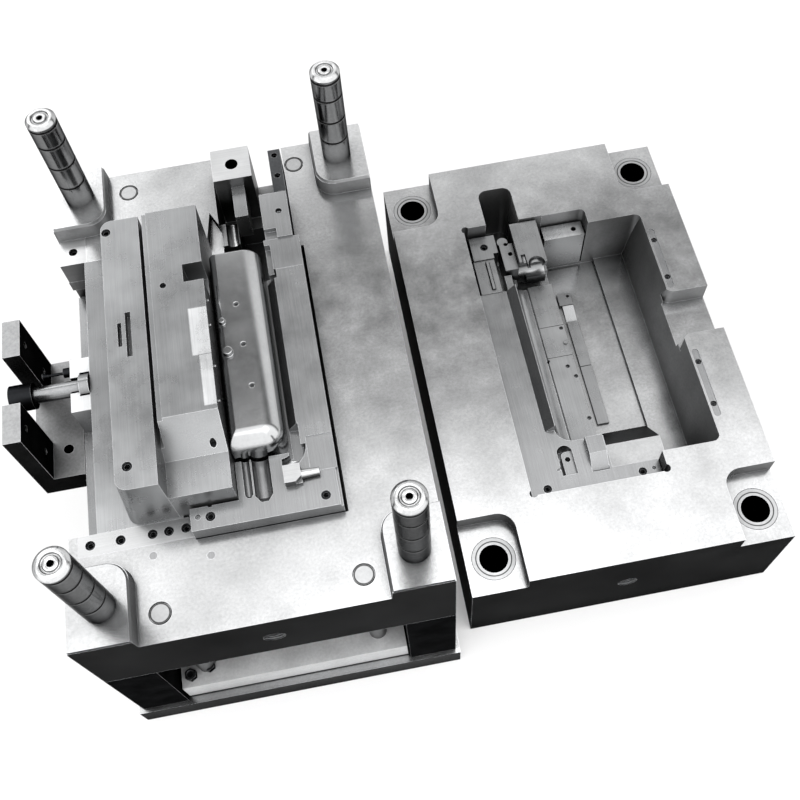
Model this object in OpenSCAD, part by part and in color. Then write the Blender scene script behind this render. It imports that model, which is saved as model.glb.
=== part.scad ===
// Injection mould, opened and laid flat: core half with sliders, and cavity half.
// Millimetres, +Z up. Origin: centre of the core half's underside, on its knock-out bore.

/* [Mould base] */

// width of both halves along X
base_w = 450; // [430:500]
// length of both halves along Y
base_l = 700; // [680:760]
// thickness of the core half's clamp plate
clamp_t = 45; // [35:60]
// overhang of the clamp plate round the spacer blocks
clamp_lip = 6; // [2:15]
// width of each spacer block
spacer_w = 65; // [55:75]
// height of the spacer blocks
spacer_h = 180; // [160:220]
// thickness of the core plate
core_t = 125; // [120:150]
// thickness of the cavity plate
cavity_t = 190; // [186:230]
// open gap between the two halves along X
half_gap = 30; // [30:450]
// offset of the cavity half along Y
cavity_y = 35; // [0:100]

/* [Corner pads] */

// width of a corner pad along X
pad_w = 75; // [72:80]
// length of a corner pad along Y
pad_l = 100; // [94:105]
// height of a pad over the parting face
pad_h = 25; // [20:25]
// radius of a pad's inner corner
pad_r = 25; // [15:30]
// inward lean of a pad's walls over its height
pad_draft = 2; // [1:3]
// bright chamfer round a pad's top
pad_chamfer = 4; // [2:6]
// clearance of a pad in its recess
pad_gap = 2; // [1:3]

/* [Guide pins] */

// diameter of the guide pins
pin_d = 40; // [36:42]
// length of a pin over its pad
pin_reach = 160; // [140:160]
// distance of a pin from the long side
pin_inset_x = 40; // [38:44]
// distance of a pin from the short side
pin_inset_y = 48; // [44:52]
// width of an oil groove
groove_w = 3; // [2:5]
// depth of an oil groove
groove_t = 0.8; // [0.5:1.5]
// outer diameter of a guide bushing
bushing_od = 56; // [54:58]
// outer diameter of a bushing's collar
collar_d = 62; // [60:64]
// running clearance of pins in bores, on the radius
run_gap = 0.05; // [0.03:0.09]

/* [Core insert] */

// reach of the insert to the left of the centre line
insert_left = 71; // [70:73]
// reach of the insert to the right
insert_right = 112; // [111:114]
// reach of the insert towards the near side
insert_near = 232; // [230:236]
// far end of the insert's ledge
insert_far = 120; // [116:124]
// far end of the pocket that holds it
pocket_far = 170; // [168:176]
// depth of the insert below the parting face
insert_deep = 80; // [70:85]
// height of the insert over the parting face
insert_rise = 25; // [20:25]
// open gap along the insert's right side
insert_gap = 4; // [2:5]

/* [Core bar] */

// left side of the bar, measured from the centre line
bar_left = 10; // [8:11]
// right side of the bar
bar_right = 56; // [52:58]
// near end of the bar
bar_near = 150; // [145:153]
// far end of the bar
bar_far = 135; // [130:138]
// height of the bar over the parting face
bar_h = 60; // [56:60]
// radius of the bar's left top edge
bar_r_left = 10; // [6:14]
// radius of the bar's right top edge and of its near corner
bar_r_right = 24; // [18:26]
// diameter of the ejector pins
ejector_d = 6; // [5:8]

/* [Side slider] */

// near side of the slider's channel
channel_near = 202; // [200:204]
// far side of the channel
channel_far = 205; // [202:208]
// depth of the sliding face below the parting face
channel_deep = 80; // [75:85]
// thickness of the wear plate under the slider
wear_t = 10; // [6:12]
// width of the guiding tongues
tongue_w = 8; // [6:10]
// height of the guiding tongues
tongue_h = 20; // [15:25]
// back of the slider's foot, from the base's long side
foot_inset = 35; // [32:40]
// front of the slider's foot
foot_front = 84; // [83:86]
// back of the heel plate
heel_back = 150; // [146:154]
// front of the heel plate
heel_front = 88; // [87:90]
// far end of the heel plate
heel_far = 183; // [178:188]
// height of the slider over the parting face
slider_h = 105; // [100:105]
// backward lean of the heel over its height
heel_lean = 13; // [10:15]
// radius of the heel's outer corners
heel_r = 14; // [10:18]
// depth of the groove between heel plate and nose block
groove_deep = 30; // [10:45]
// depth of the pocket in the nose block's far end
nose_pocket = 40; // [20:42]
// width of that groove
groove_gap = 4; // [3:6]
// width of the shallow step beside that groove
groove_step = 6; // [4:8]
// front of the nose block
nose_front = 12; // [11.5:14]
// far end of the nose block
nose_far = 186; // [180:190]
// start of the nose block's slope
slope_top = 117; // [112:122]
// foot of the nose block's slope
slope_foot = 153; // [148:158]
// height of the nose block's near ledge
ledge_h = 60; // [55:65]
// sliding clearance of flat faces
slide_gap = 0.1; // [0.05:0.2]

/* [End slider] */

// left side of the end slider's channel
end_left = 7; // [4:8]
// right side of its carriage
end_right = 62; // [58:64]
// near face of the carriage
end_near = 267; // [262:270]
// far face of the carriage
end_far = 322; // [316:326]
// height of the carriage over the parting face
end_h = 48; // [44:50]
// width of the slider's arm
arm_w = 18; // [14:22]
// reach of the arm in front of the carriage
arm_reach = 53; // [45:58]
// diameter of the hole for the angle pin
angle_hole_d = 18; // [14:20]
// lean of the angle pin
angle_lean = 8; // [5:9]
// width of the guide rail beside the carriage
rail_w = 18; // [16:20]
// distance of the guide rail's right side from the long side
rail_right = 121; // [120:123]

/* [Hydraulic bracket] */

// reach of the bracket from the core plate
bracket_out = 65; // [60:75]
// thickness of the bracket's upright plate
post_t = 23; // [20:26]
// thickness of the bracket's base
bracket_base_t = 40; // [35:42]
// height of the uprights over the parting face
post_rise = 40; // [30:50]
// length of the bracket along Y
bracket_l = 180; // [176:190]
// width of the opening for the rod
rod_slot = 70; // [70:76]
// centre of the rod along Y
rod_y = 11; // [8:14]
// depth of the rod's axis below the parting face
rod_deep = 8; // [6:12]
// diameter of the rod
rod_d = 22; // [18:22]

/* [Ejector set] */

// thickness of the retainer plate
retainer_t = 20; // [18:25]
// thickness of the ejector base plate
ejector_t = 25; // [22:30]
// height of the stop buttons
stop_h = 5; // [4:8]
// diameter of the return pins
return_d = 25; // [20:26]
// distance of a return pin from the long side
return_inset_x = 104; // [100:106]
// distance of a return pin from the short side
return_inset_y = 35; // [33:37]
// diameter of the support pillars
pillar_d = 50; // [40:56]

/* [Cavity half] */

// depth of the slider's pocket
wedge_deep = 106; // [105.5:110]
// depth of the side notch for the rod
notch_deep = 33; // [30:40]
// width of the side notch for the rod
notch_w = 76; // [70:84]
// length of the wear plates beside the pocket
wedge_plate_l = 112; // [100:120]
// extra depth of the pocket's floor under the nose block
nose_drop = 6; // [3:10]
// far edge of the pocket's slope
pocket_slope = 101; // [96:110]
// far end of the cavity insert
cavity_far = 228; // [224:230]
// depth of the moulding trough
trough_deep = 60.5; // [60.2:64]
// height of the insert's ridge beside the trough
ridge_h = 15; // [10:15]
// depth of the slot for the end slider
end_slot_deep = 120; // [110:140]
// diameter of the locating ring
locating_d = 100; // [90:120]
// offset of the sprue from the centre line
sprue_x = -30; // [-32:-28]

/* [Screws] */

// nominal size of the frame screws
frame_screw = 16; // [12:20]
// nominal size of the clamping screws on inserts and rails
small_screw = 8; // [6:8]
// diameter of the lifting threads
lift_d = 27; // [24:30]
// depth of the lifting threads
lift_deep = 45; // [35:50]

/* [Hidden] */

$fn = 48;
eps = 1;
half_pitch = base_w + half_gap;
seat = 0.1;
hx = base_w / 2;
hy = base_l / 2;
core_z = clamp_t + spacer_h;
parting_z = core_z + core_t;
pin_x = hx - pin_inset_x;
pin_y = hy - pin_inset_y;
corners = [[-1, -1], [1, -1], [1, 1], [-1, 1]];
foot_back = hx - foot_inset;
gib_w = 27;
gib_left = hx - 11;
pocket_right = insert_right + insert_gap;
bar_seat = 3;
coupling_t = 26;
ring_t = 15;
ejector_holes = [[19, 52], [22, -9], [26, -70]];
frame_screw_y = [-hy + 110, 0, hy - 110];
frame_screw_x = hx - spacer_w / 2;
screw_head = 1.5;
return_x = hx - return_inset_x;
return_y = hy - return_inset_y;
pillar_x = hx - 140;
pillar_y = hy - 200;
ejector_z = clamp_t + stop_h;
ejector_top = ejector_z + ejector_t + retainer_t;
plate_half = hx - spacer_w - 3;
gib_screw_x = [15 - gib_left, -162, -123, -103, -82];
gib_y = -channel_near - gib_w / 2;
rail_end = hx - rail_right;
rail_x = rail_end - rail_w;
end_gap = 2;
rail_near = 226;
rail_screw_y = [267, 300, hy - 12];
block_a = [rail_x - 20, 170, 247];
plug_places = [[-124, -243], [-55, -256]];
wear_screw_x = 22 - hx;
wear_screw_y = [-160, 40, 160];
trip_y = rod_y + rod_slot / 2 - 9;
rim_x = heel_back + heel_lean;
pocket_far_y = heel_far + 18;
nose_floor = wedge_deep + nose_drop;
near_screw_y = 15 - insert_near;
insert_top = -insert_rise - 1;
insert_low = -60;
near_plate_right = 76;
trough_far = 165;
strip_seams = [-144, 5, 60, 138];
strip_holes = [[4, 54], [-3, -14], [5, -33], [6, -106]];
wear_plate_x = rim_x + 8;
wear_plate_y = [112, -110];
niche_right = 80;
frame_screw_in = 28;
bracket_x = -hx - bracket_out;
bracket_y = rod_y;
trough_left = -bar_right - 0.4;
trough_right = bar_left;

// sub-part to show

// a block between two corners
module block(x0, x1, y0, y1, z0, z1) {
    translate([x0, y0, z0])
        cube([x1 - x0, y1 - y0, z1 - z0]);
}

// an upright round hole or pin
module post(x, y, z0, z1, d) {
    translate([x, y, z0])
        cylinder(h = z1 - z0, d = d);
}

// a round pin lying along X
module rod_along_x(x0, x1, y, z, d) {
    translate([x0, y, z])
        rotate([0, 90, 0])
            cylinder(h = x1 - x0, d = d);
}

// trims one corner of a flat shape to a radius
module trim_corner(x, y, sx, sy, r) {
    translate([x, y])
        difference() {
            translate([sx > 0 ? -eps : -r, sy > 0 ? -eps : -r])
                square(r + eps);
            translate([sx * r, sy * r])
                circle(r);
        }
}

// a rectangle with its own radius at each corner: near left, near right, far right, far left
module rounded(x0, x1, y0, y1, r) {
    difference() {
        translate([x0, y0])
            square([x1 - x0, y1 - y0]);
        if (r[0] > 0) trim_corner(x0, y0, 1, 1, r[0]);
        if (r[1] > 0) trim_corner(x1, y0, -1, 1, r[1]);
        if (r[2] > 0) trim_corner(x1, y1, -1, -1, r[2]);
        if (r[3] > 0) trim_corner(x0, y1, 1, -1, r[3]);
    }
}

// a block whose upright edges are rounded
module round_block(x0, x1, y0, y1, z0, z1, r) {
    translate([0, 0, z0])
        linear_extrude(z1 - z0)
            rounded(x0, x1, y0, y1, r);
}

// extrudes a shape drawn in X and Z along Y
module along_y(y0, y1) {
    translate([0, y1, 0])
        rotate([90, 0, 0])
            linear_extrude(y1 - y0)
                children();
}

// extrudes a shape drawn in Y and Z along X
module along_x(x0, x1) {
    translate([x0, 0, 0])
        rotate([90, 0, 90])
            linear_extrude(x1 - x0)
                children();
}

// a socket head screw whose head's top is at the origin
module socket_screw(d, len) {
    difference() {
        union() {
            translate([0, 0, -d])
                cylinder(h = d, d = d * screw_head);
            translate([0, 0, -d - len])
                cylinder(h = len + eps / 2, d = d);
        }
        translate([0, 0, -d * 0.6])
            linear_extrude(d)
                hexagon(d * 0.8);
    }
}

// the hole that a socket head screw sits in, open above
module screw_seat(d, len) {
    translate([0, 0, -d - seat])
        cylinder(h = d + seat + 40, d = d * screw_head + 2 * seat);
    translate([0, 0, -d - len - 2])
        cylinder(h = len + 3, d = d + 2 * seat);
}

// a regular hexagon by its width across flats
module hexagon(flats) {
    c = flats / sqrt(3);
    polygon([for (i = [0:5]) [c * cos(60 * i), c * sin(60 * i)]]);
}

// the frame of the core half's parting face
module on_core() {
    translate([0, 0, parting_z])
        children();
}

// the frame of the cavity half's parting face
module on_cavity() {
    translate([half_pitch, cavity_y, cavity_t])
        children();
}

// one corner's tapering pad, as a solid leaning in by lean over its height
module pad_layer(z0, z1, grow, lean) {
    x = hx - pad_w - grow;
    y = hy - pad_l - grow;
    xc = x + pad_r;
    yc = y + pad_r;
    reach = eps + grow;
    along_y(yc, hy + reach)
        polygon([[x - lean, z0], [hx + reach, z0], [hx + reach, z1], [x, z1]]);
    along_x(xc, hx + reach)
        polygon([[y - lean, z0], [hy + reach, z0], [hy + reach, z1], [y, z1]]);
    translate([xc, yc, z0])
        cylinder(h = z1 - z0, r1 = pad_r + lean, r2 = pad_r);
}

// all four pads, cut flush with the plate's sides
module corner_pads() {
    for (c = corners)
        mirror([c[0] < 0 ? 1 : 0, 0, 0])
            mirror([0, c[1] < 0 ? 1 : 0, 0])
                intersection() {
                    union() {
                        pad_layer(-eps, pad_h - pad_chamfer, 0, pad_draft);
                        pad_layer(pad_h - pad_chamfer, pad_h, -pad_chamfer / 2, pad_chamfer / 2);
                    }
                    block(0, hx, 0, hy, -eps, pad_h);
                }
}

module bottom_clamp_plate() {
    color("silver")
        difference() {
            block(-hx - clamp_lip, hx + clamp_lip, -hy - clamp_lip, hy + clamp_lip, 0, clamp_t);
            post(0, 0, -eps, clamp_t + eps, 50);
            for (sx = [-1, 1], y = frame_screw_y)
                translate([sx * frame_screw_x, y, frame_screw + 1])
                    mirror([0, 0, 1])
                        screw_seat(frame_screw, clamp_t);
        }
}

module spacer_block(side) {
    difference() {
        block(side > 0 ? hx - spacer_w : -hx, side > 0 ? hx : -hx + spacer_w, -hy, hy,
            clamp_t, core_z);
        for (y = frame_screw_y)
            post(side * frame_screw_x, y, clamp_t - eps, core_z + eps, frame_screw + 2 * seat);
    }
}

module spacer_block_left() {
    color("dimgray")
        spacer_block(-1);
}

module spacer_block_right() {
    color("dimgray")
        spacer_block(1);
}

module frame_screws() {
    color("dimgray")
        for (sx = [-1, 1], y = frame_screw_y)
            translate([sx * frame_screw_x, y, 1])
                mirror([0, 0, 1])
                    socket_screw(frame_screw, core_z + frame_screw_in - frame_screw);
}

module core_plate() {
    color("silver")
        on_core()
            difference() {
                union() {
                    block(-hx, hx, -hy, hy, -core_t, 0);
                    corner_pads();
                }
                slider_channel();
                insert_pocket();
                for (c = corners) {
                    post(c[0] * pin_x, c[1] * pin_y, -core_t - eps, pad_h + eps, pin_d + 2 * seat);
                    post(c[0] * pin_x, c[1] * pin_y, -core_t - eps, -core_t + 8.2, pin_d + 7);
                    post(c[0] * return_x, c[1] * return_y, -core_t - eps, eps,
                        return_d + 2 * run_gap);
                    post(c[0] * return_x, c[1] * return_y, -3, eps, return_d + 3);
                }
                for (p = ejector_holes)
                    post(p[0], p[1], -core_t - eps, 0, ejector_d + 2 * run_gap + 1);
                for (p = plug_places)
                    post(p[0], p[1], -8, eps, 10 + 2 * seat);
                for (sx = [-1, 1], y = frame_screw_y)
                    post(sx * frame_screw_x, y, -core_t - eps, -core_t + frame_screw_in + 2,
                        frame_screw + 2 * seat);
                translate([0, -hy - eps, -65])
                    rotate([-90, 0, 0])
                        cylinder(h = lift_deep + eps, d = lift_d);
                bracket_bolts()
                    cylinder(h = 40, d = 12 + 2 * seat);
            }
}

// the channel of the side slider, with seats for its gibs and wear plate
module slider_channel() {
    floor_z = -channel_deep - wear_t;
    slot_top = -channel_deep + tongue_h + slide_gap;
    block(-hx - eps, -insert_left - 6, -channel_near, channel_far, floor_z, eps);
    block(-gib_left, -insert_left, -channel_near - gib_w, -channel_near + eps, -channel_deep, eps);
    block(-hx - eps, -gib_left + eps, -channel_near - tongue_w - slide_gap, -channel_near + eps,
        -channel_deep - slide_gap, slot_top);
    block(-hx - eps, -foot_back + 3, channel_far - eps, channel_far + 42, -40, eps);
    block(-hx - eps, -insert_left - 6, channel_far - eps, channel_far + tongue_w + slide_gap,
        floor_z, slot_top);
    for (x = gib_screw_x)
        post(x, gib_y, -channel_deep - 15, eps, small_screw + 2 * seat);
    post(-foot_back - 15, channel_far + 21, -60, eps, small_screw + 2 * seat);
    for (y = wear_screw_y)
        post(wear_screw_x, y, floor_z - 12, eps, small_screw + 2 * seat);
}

// the pocket of the core insert and the end slider's channel that runs out of it
module insert_pocket() {
    block(-insert_left - eps, pocket_right, -insert_near - eps, pocket_far, -insert_deep, eps);
    difference() {
        block(end_left - 5, rail_end + end_gap, pocket_far - eps, hy + eps, -insert_deep, eps);
        channel_ledge();
    }
    block(47, 66, 311, 331, -insert_deep - 25, -insert_deep + eps);
    far_notches();
}

// the ledge on the channel's left wall, with a trough in its top
module channel_ledge() {
    difference() {
        block(end_left - 5 - eps, end_left + 20, 205, 243, -insert_deep - eps, -18);
        translate([end_left + 11, 200, -13])
            rotate([-90, 0, 0])
                cylinder(h = 50, d = 20);
    }
}

// two V notches whose floors rise from the pocket's far end to the parting face
module far_notches() {
    intersection() {
        translate([0, 0, -insert_deep])
            linear_extrude(insert_deep + eps)
                polygon([[-insert_left, 168], [-50, 215], [-34, 269], [-27, 209], [-16, 211],
                    [-9, 254], [end_left - 4, 229], [end_left - 4, 168]]);
        along_x(-insert_left, end_left)
            polygon([[160, -34], [280, -8], [280, 2], [160, 2]]);
    }
}

module guide_pins() {
    color("lightgray")
        for (c = corners)
            translate([c[0] * pin_x, c[1] * pin_y, core_z])
                guide_pin();
}

// one guide pin with its head, oil grooves, chamfered tip and centre hole
module guide_pin() {
    r = pin_d / 2;
    top = core_t + pad_h + pin_reach;
    start = core_t + pad_h;
    rotate_extrude()
        polygon(concat([[0, 0], [r + 3.3, 0], [r + 3.3, 8], [r, 8]],
            [for (k = [1:3], p = groove_points(r, start + k * pin_reach / 4)) p],
            groove_points(r, top - 9),
            [[r, top - 4], [r - 4, top], [r - 8, top], [r - 9, top - 2], [r - 11, top - 2],
                [r - 12, top], [4, top], [4, top - 12], [0, top - 14]]));
}

// the outline of one groove in a pin's side
function groove_points(r, z) = [[r, z - groove_w / 2], [r - groove_t, z - groove_w / 2],
    [r - groove_t, z + groove_w / 2], [r, z + groove_w / 2]];

module support_pillars() {
    color("gray")
        for (c = corners)
            post(c[0] * pillar_x, c[1] * pillar_y, clamp_t, core_z, pillar_d);
}

module stop_buttons() {
    color("gray")
        for (c = corners)
            post(c[0] * return_x, c[1] * (hy - 90), clamp_t, ejector_z, 30);
}

module core_insert() {
    color("gainsboro")
        on_core()
            difference() {
                union() {
                    block(-insert_left, insert_right, -insert_near, insert_far, -insert_deep, 0);
                    block(-insert_left, insert_right, -insert_near, insert_far, -eps, insert_rise);
                    block(-34, 50, insert_far - eps, pocket_far - seat, -insert_deep, -30);
                    far_ramp();
                }
                block(-insert_left - eps, -nose_front + 1, -channel_near - 1, insert_far + eps, 0,
                    insert_rise + eps);
                insert_seats();
                runner_cuts();
                near_plate_marks();
                for (p = ejector_holes)
                    post(p[0], p[1], -insert_deep - eps, 0, ejector_d + 2 * run_gap);
                insert_screw_places()
                    screw_seat(small_screw, 30);
            }
}

// the insert's end beyond the bar, sloping down to the far notches
module far_ramp() {
    along_x(-34, end_left + 18)
        polygon([[insert_far - eps, -35], [pocket_far - seat, -35], [pocket_far - seat, -24],
            [bar_far + 6, -4], [insert_far - eps, -4]]);
    difference() {
        block(end_left + 19, 50, insert_far - eps, pocket_far - seat, -35, -12);
        translate([end_left + 10, pocket_far - 16, -5])
            rotate([0, 90, 0])
                cylinder(h = 40, d = 24);
    }
}

// small steps in the near plate: a notch, a dowel hole and the shallow pads beside the runner
module near_plate_marks() {
    block(-49, -44, -channel_near - 3, -channel_near + eps, insert_rise - 8, insert_rise + eps);
    post(-62, near_screw_y + 2, insert_rise - 5, insert_rise + eps, 7);
    block(insert_right - 33, insert_right + eps, -183, -135, insert_rise - 1.5, insert_rise + eps);
    block(insert_right - 3, insert_right + eps, -insert_near - eps, -183, insert_rise - 6,
        insert_rise + eps);
}

// the seat of the bar and the sloping shoulder beside it
module insert_seats() {
    shoulder = bar_right + 15;
    along_y(-bar_near - bar_seat, insert_far + eps)
        polygon([[-nose_front, 0], [bar_right + bar_seat, 0], [bar_right + bar_seat, 10],
            [shoulder, insert_rise + eps], [-nose_front, insert_rise + eps]]);
    block(bar_right, shoulder + 1, -bar_near - 10, -115, 4, insert_rise + 2 * eps);
    block(bar_right - eps, shoulder + 3, 106, insert_far + eps, 2, insert_rise + 2 * eps);
}

// the two runner troughs and the curved channel round the bar's near corner
module runner_cuts() {
    runner_end = -channel_near;
    for (r = [[20, 22, 0], [2, 10, 3]])
        translate([r[0], runner_end + r[2], insert_rise]) {
            rotate([-90, 0, 0])
                cylinder(h = 55, d = r[1]);
            rotate([90, 0, 0])
                cylinder(h = r[1] * 0.4, d1 = r[1], d2 = r[1] * 0.4);
        }
    translate([bar_right - 10, -bar_near + 6, insert_rise - 4])
        rotate([0, 0, -90])
            rotate_extrude(angle = 90)
                translate([24, 0])
                    circle(9);
}

module insert_screw_places() {
    for (x = [insert_right - 19, -47])
        translate([x, near_screw_y, insert_rise - 1])
            children();
}

module core_insert_screws() {
    color("dimgray")
        on_core()
            insert_screw_places()
                socket_screw(small_screw, 30);
}

module core_bar() {
    color("lightgray")
        on_core()
            difference() {
                union() {
                    bar_body();
                    post(-1, 28, bar_h - 12, bar_h + 6, 8);
                    post(2, -18, bar_h - 12, bar_h + 7, 12);
                }
                for (p = ejector_holes)
                    post(p[0], p[1], -eps, bar_h + eps, ejector_d + 2 * run_gap);
            }
}

// the bar with quarter-round top edges that meet in ball corners at its near end
module bar_body() {
    z = bar_h - bar_r_right;
    y = -bar_near + bar_r_right;
    along_y(y, bar_far)
        rounded(-bar_left, bar_right, 0, bar_h, [0, 0, bar_r_right, bar_r_left]);
    intersection() {
        along_x(-bar_left, bar_right - bar_r_right)
            rounded(-bar_near, y + eps, 0, bar_h, [0, 0, 0, bar_r_right]);
        along_y(-bar_near - eps, y + 2 * eps)
            rounded(-bar_left, bar_right, 0, bar_h, [0, 0, 0, bar_r_left]);
    }
    translate([bar_right - bar_r_right, y, 0]) {
        cylinder(h = z, r = bar_r_right);
        translate([0, 0, z])
            sphere(r = bar_r_right);
    }
    block(-bar_left, bar_right - bar_r_right, -bar_near + eps, y + eps, 0, z / 2);
}

module near_gib_rail() {
    color("gainsboro")
        on_core()
            difference() {
                block(-gib_left + seat, -insert_left - seat, -channel_near - gib_w + seat,
                    -channel_near, -channel_deep, 0);
                block(-gib_left - eps, -insert_left + eps, -channel_near - tongue_w - slide_gap,
                    -channel_near + eps, -channel_deep - eps,
                    -channel_deep + tongue_h + slide_gap);
                for (x = gib_screw_x)
                    translate([x, gib_y, -3])
                        screw_seat(small_screw, channel_deep);
            }
}

module far_gib_block() {
    color("gainsboro")
        on_core()
            difference() {
                block(-hx + 1, -foot_back + 3 - seat, channel_far, channel_far + 42 - seat, -40, 0);
                translate([-foot_back - 15, channel_far + 21, -4])
                    screw_seat(small_screw, 60);
            }
}

module gib_screws() {
    color("dimgray")
        on_core() {
            for (x = gib_screw_x)
                translate([x, gib_y, -3])
                    socket_screw(small_screw, channel_deep);
            translate([-foot_back - 15, channel_far + 21, -4])
                socket_screw(small_screw, 44);
        }
}

module slider_wear_plate() {
    color("darkgray")
        on_core()
            difference() {
                block(-hx + 1, -insert_left - 6 - seat, -channel_near + seat, channel_far - seat,
                    -channel_deep - wear_t, -channel_deep);
                for (y = wear_screw_y)
                    translate([wear_screw_x, y, -channel_deep - 1])
                        screw_seat(small_screw - 2, 16);
            }
}

module wear_plate_screws() {
    color("dimgray")
        on_core()
            for (y = wear_screw_y)
                translate([wear_screw_x, y, -channel_deep - 1])
                    socket_screw(small_screw - 2, 12);
}

module insert_block_a() {
    color("silver")
        on_core()
            difference() {
                block(block_a[0], rail_end, block_a[1] + seat, block_a[2], -insert_deep,
                    insert_rise + 3);
                block(block_a[0] - eps, block_a[0] + 17, block_a[1], block_a[1] + 16,
                    insert_rise - 5, insert_rise + 4);
                block(rail_x - seat, rail_end + eps, rail_near, block_a[2] + eps,
                    -insert_deep - eps, 1);
                block(block_a[0] - eps, rail_x, block_a[2] - 12, block_a[2] + eps,
                    -insert_deep - eps, -30);
                translate([rail_x + 4, block_a[2] - 33, insert_rise + 1])
                    screw_seat(small_screw - 2, 16);
            }
}

module insert_block_b() {
    color("silver")
        on_core()
            difference() {
                block(bar_right + 7, insert_right, insert_far + seat, block_a[1], -insert_deep,
                    insert_rise);
                block(bar_right, bar_right + 15, insert_far, block_a[1] - 9, insert_rise - 12,
                    insert_rise + eps);
            }
}

module runner_pin_block() {
    color("silver")
        on_core() {
            difference() {
                block(47, 68, -198, -175, insert_rise, insert_rise + 14);
                translate([58, -200, insert_rise + 14])
                    rotate([0, 0, 40])
                        block(-4, 20, -24, 0, -9, eps);
            }
            translate([67, -187, insert_rise + 6])
                rotate([0, 90, 0])
                    cylinder(h = 23, r1 = 6, r2 = 4.5);
        }
}

module end_guide_rail() {
    color("dimgray")
        on_core()
            difference() {
                block(rail_x, rail_end, rail_near, hy - 1, -insert_deep, 0);
                for (y = rail_screw_y)
                    translate([rail_x + rail_w / 2, y, -3])
                        screw_seat(small_screw - 2, 60);
            }
}

module end_rail_screws() {
    color("dimgray")
        on_core()
            for (y = rail_screw_y)
                translate([rail_x + rail_w / 2, y, -3])
                    socket_screw(small_screw - 2, 60);
}

module flush_plugs() {
    color("gainsboro")
        on_core()
            for (p = plug_places)
                post(p[0], p[1], -8, 0, 10);
}

module hydraulic_bracket() {
    base_top = -channel_deep;
    base_z = base_top - bracket_base_t;
    color("dimgray")
        on_core()
            difference() {
                union() {
                    block(bracket_x, -hx, bracket_y - bracket_l / 2, bracket_y + bracket_l / 2,
                        base_z, base_top);
                    block(bracket_x, bracket_x + post_t, bracket_y - bracket_l / 2,
                        bracket_y + bracket_l / 2, base_top - eps, post_rise);
                }
                block(bracket_x - eps, bracket_x + post_t + eps, rod_y - rod_slot / 2,
                    rod_y + rod_slot / 2, base_top, post_rise + eps);
                for (s = [-1, 1])
                    post(bracket_x + 44, bracket_y + s * 49, base_z - eps, base_top + eps, 14);
                cylinder_bolt_places()
                    cylinder(h = post_t + 2, d = 8.5);
                bracket_bolts()
                    translate([0, 0, -bracket_out - eps])
                        cylinder(h = bracket_out + 2, d = 12 + 2 * seat);
                bracket_bolts()
                    translate([0, 0, -bracket_out - eps])
                        cylinder(h = 13 + eps, d = 18 + 2 * seat);
            }
}

// the four holes for a cylinder's flange, two on each upright
module cylinder_bolt_places() {
    for (sy = [-1, 1], z = [-50, 20])
        translate([bracket_x - eps, rod_y + sy * (rod_slot / 2 + 27), z])
            rotate([0, 90, 0])
                children();
}

// the bolts that hold the bracket, running along +X from the plate's side
module bracket_bolts() {
    for (s = [-1, 1])
        translate([-hx, bracket_y + s * 70, -channel_deep - bracket_base_t / 2])
            rotate([0, 90, 0])
                children();
}

module bracket_screws() {
    color("dimgray")
        on_core()
            bracket_bolts()
                translate([0, 0, -bracket_out + 1])
                    mirror([0, 0, 1])
                        socket_screw(12, bracket_out + 12);
}

module slider_foot() {
    near_y = -channel_near + slide_gap;
    far_y = channel_far - slide_gap;
    low = -channel_deep + slide_gap / 2;
    color("gray")
        on_core()
            difference() {
                union() {
                    block(-foot_back, -foot_front, near_y, far_y, low, 0);
                    block(-foot_back, -foot_front, near_y - tongue_w, far_y + tongue_w, low,
                        low + tongue_h);
                }
                heel_screw_places()
                    translate([0, 0, -slider_h])
                        post(0, 0, -30, eps, small_screw + 2 * seat);
                coupling_screw_places()
                    cylinder(h = 30, d = small_screw + 2 * seat);
            }
}

module slider_heel_plate() {
    near_y = -channel_near + 2;
    color("silver")
        on_core()
            difference() {
                intersection() {
                    block(-heel_back, -heel_front, near_y - eps, heel_far + eps, 0, slider_h);
                    translate([-heel_back, 0, 0])
                        rotate([0, atan(heel_lean / slider_h), 0])
                            round_block(0, heel_back, near_y, heel_far, -heel_back,
                                slider_h + heel_back, [heel_r, 0, 0, heel_r]);
                }
                heel_screw_places()
                    translate([0, 0, -2])
                        screw_seat(small_screw, slider_h - small_screw);
                block(-123, -118, -10, 24, slider_h - 12, slider_h + eps);
                block(-113, -106, -26, 38, slider_h - 12, slider_h + eps);
            }
}

// the two screws that run down through the heel plate
module heel_screw_places() {
    for (p = [[-130, 165], [-122, -171]])
        translate([p[0], p[1], slider_h])
            children();
}

module slider_nose_block() {
    near_y = -channel_near + 2;
    color("silver")
        on_core()
            difference() {
                along_x(-heel_front + seat, -nose_front)
                    polygon([[near_y, slide_gap], [nose_far, slide_gap], [nose_far, slider_h],
                        [-slope_top, slider_h], [-slope_foot, ledge_h], [near_y, ledge_h]]);
                block(-heel_front - eps, groove_gap - heel_front, near_y - eps, nose_far + eps,
                    slider_h - groove_deep, slider_h + eps);
                block(-heel_front - eps, groove_gap + groove_step - heel_front, near_y - eps,
                    nose_far + eps, slider_h - groove_step / 2, slider_h + eps);
                nose_strip_space();
                block(-37, -nose_front + eps, 68, 95, slider_h - nose_pocket, slider_h + eps);
                nose_screw_places()
                    cylinder(h = 80, d = small_screw + 2 * seat, center = true);
                core_pin_places()
                    cylinder(h = 40, d = 4 + 2 * seat, center = true);
            }
}

// the notches that hold the two strips along the nose
module nose_strip_space() {
    block(-35, -nose_front + eps, -40.8, 27, ledge_h, slider_h + eps);
    block(-27, -nose_front + eps, -111, -41, ledge_h, slider_h + eps);
}

module nose_screw_places() {
    translate([-63, 68, slider_h])
        children();
    translate([-27, -144, 71])
        children();
}

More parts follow.
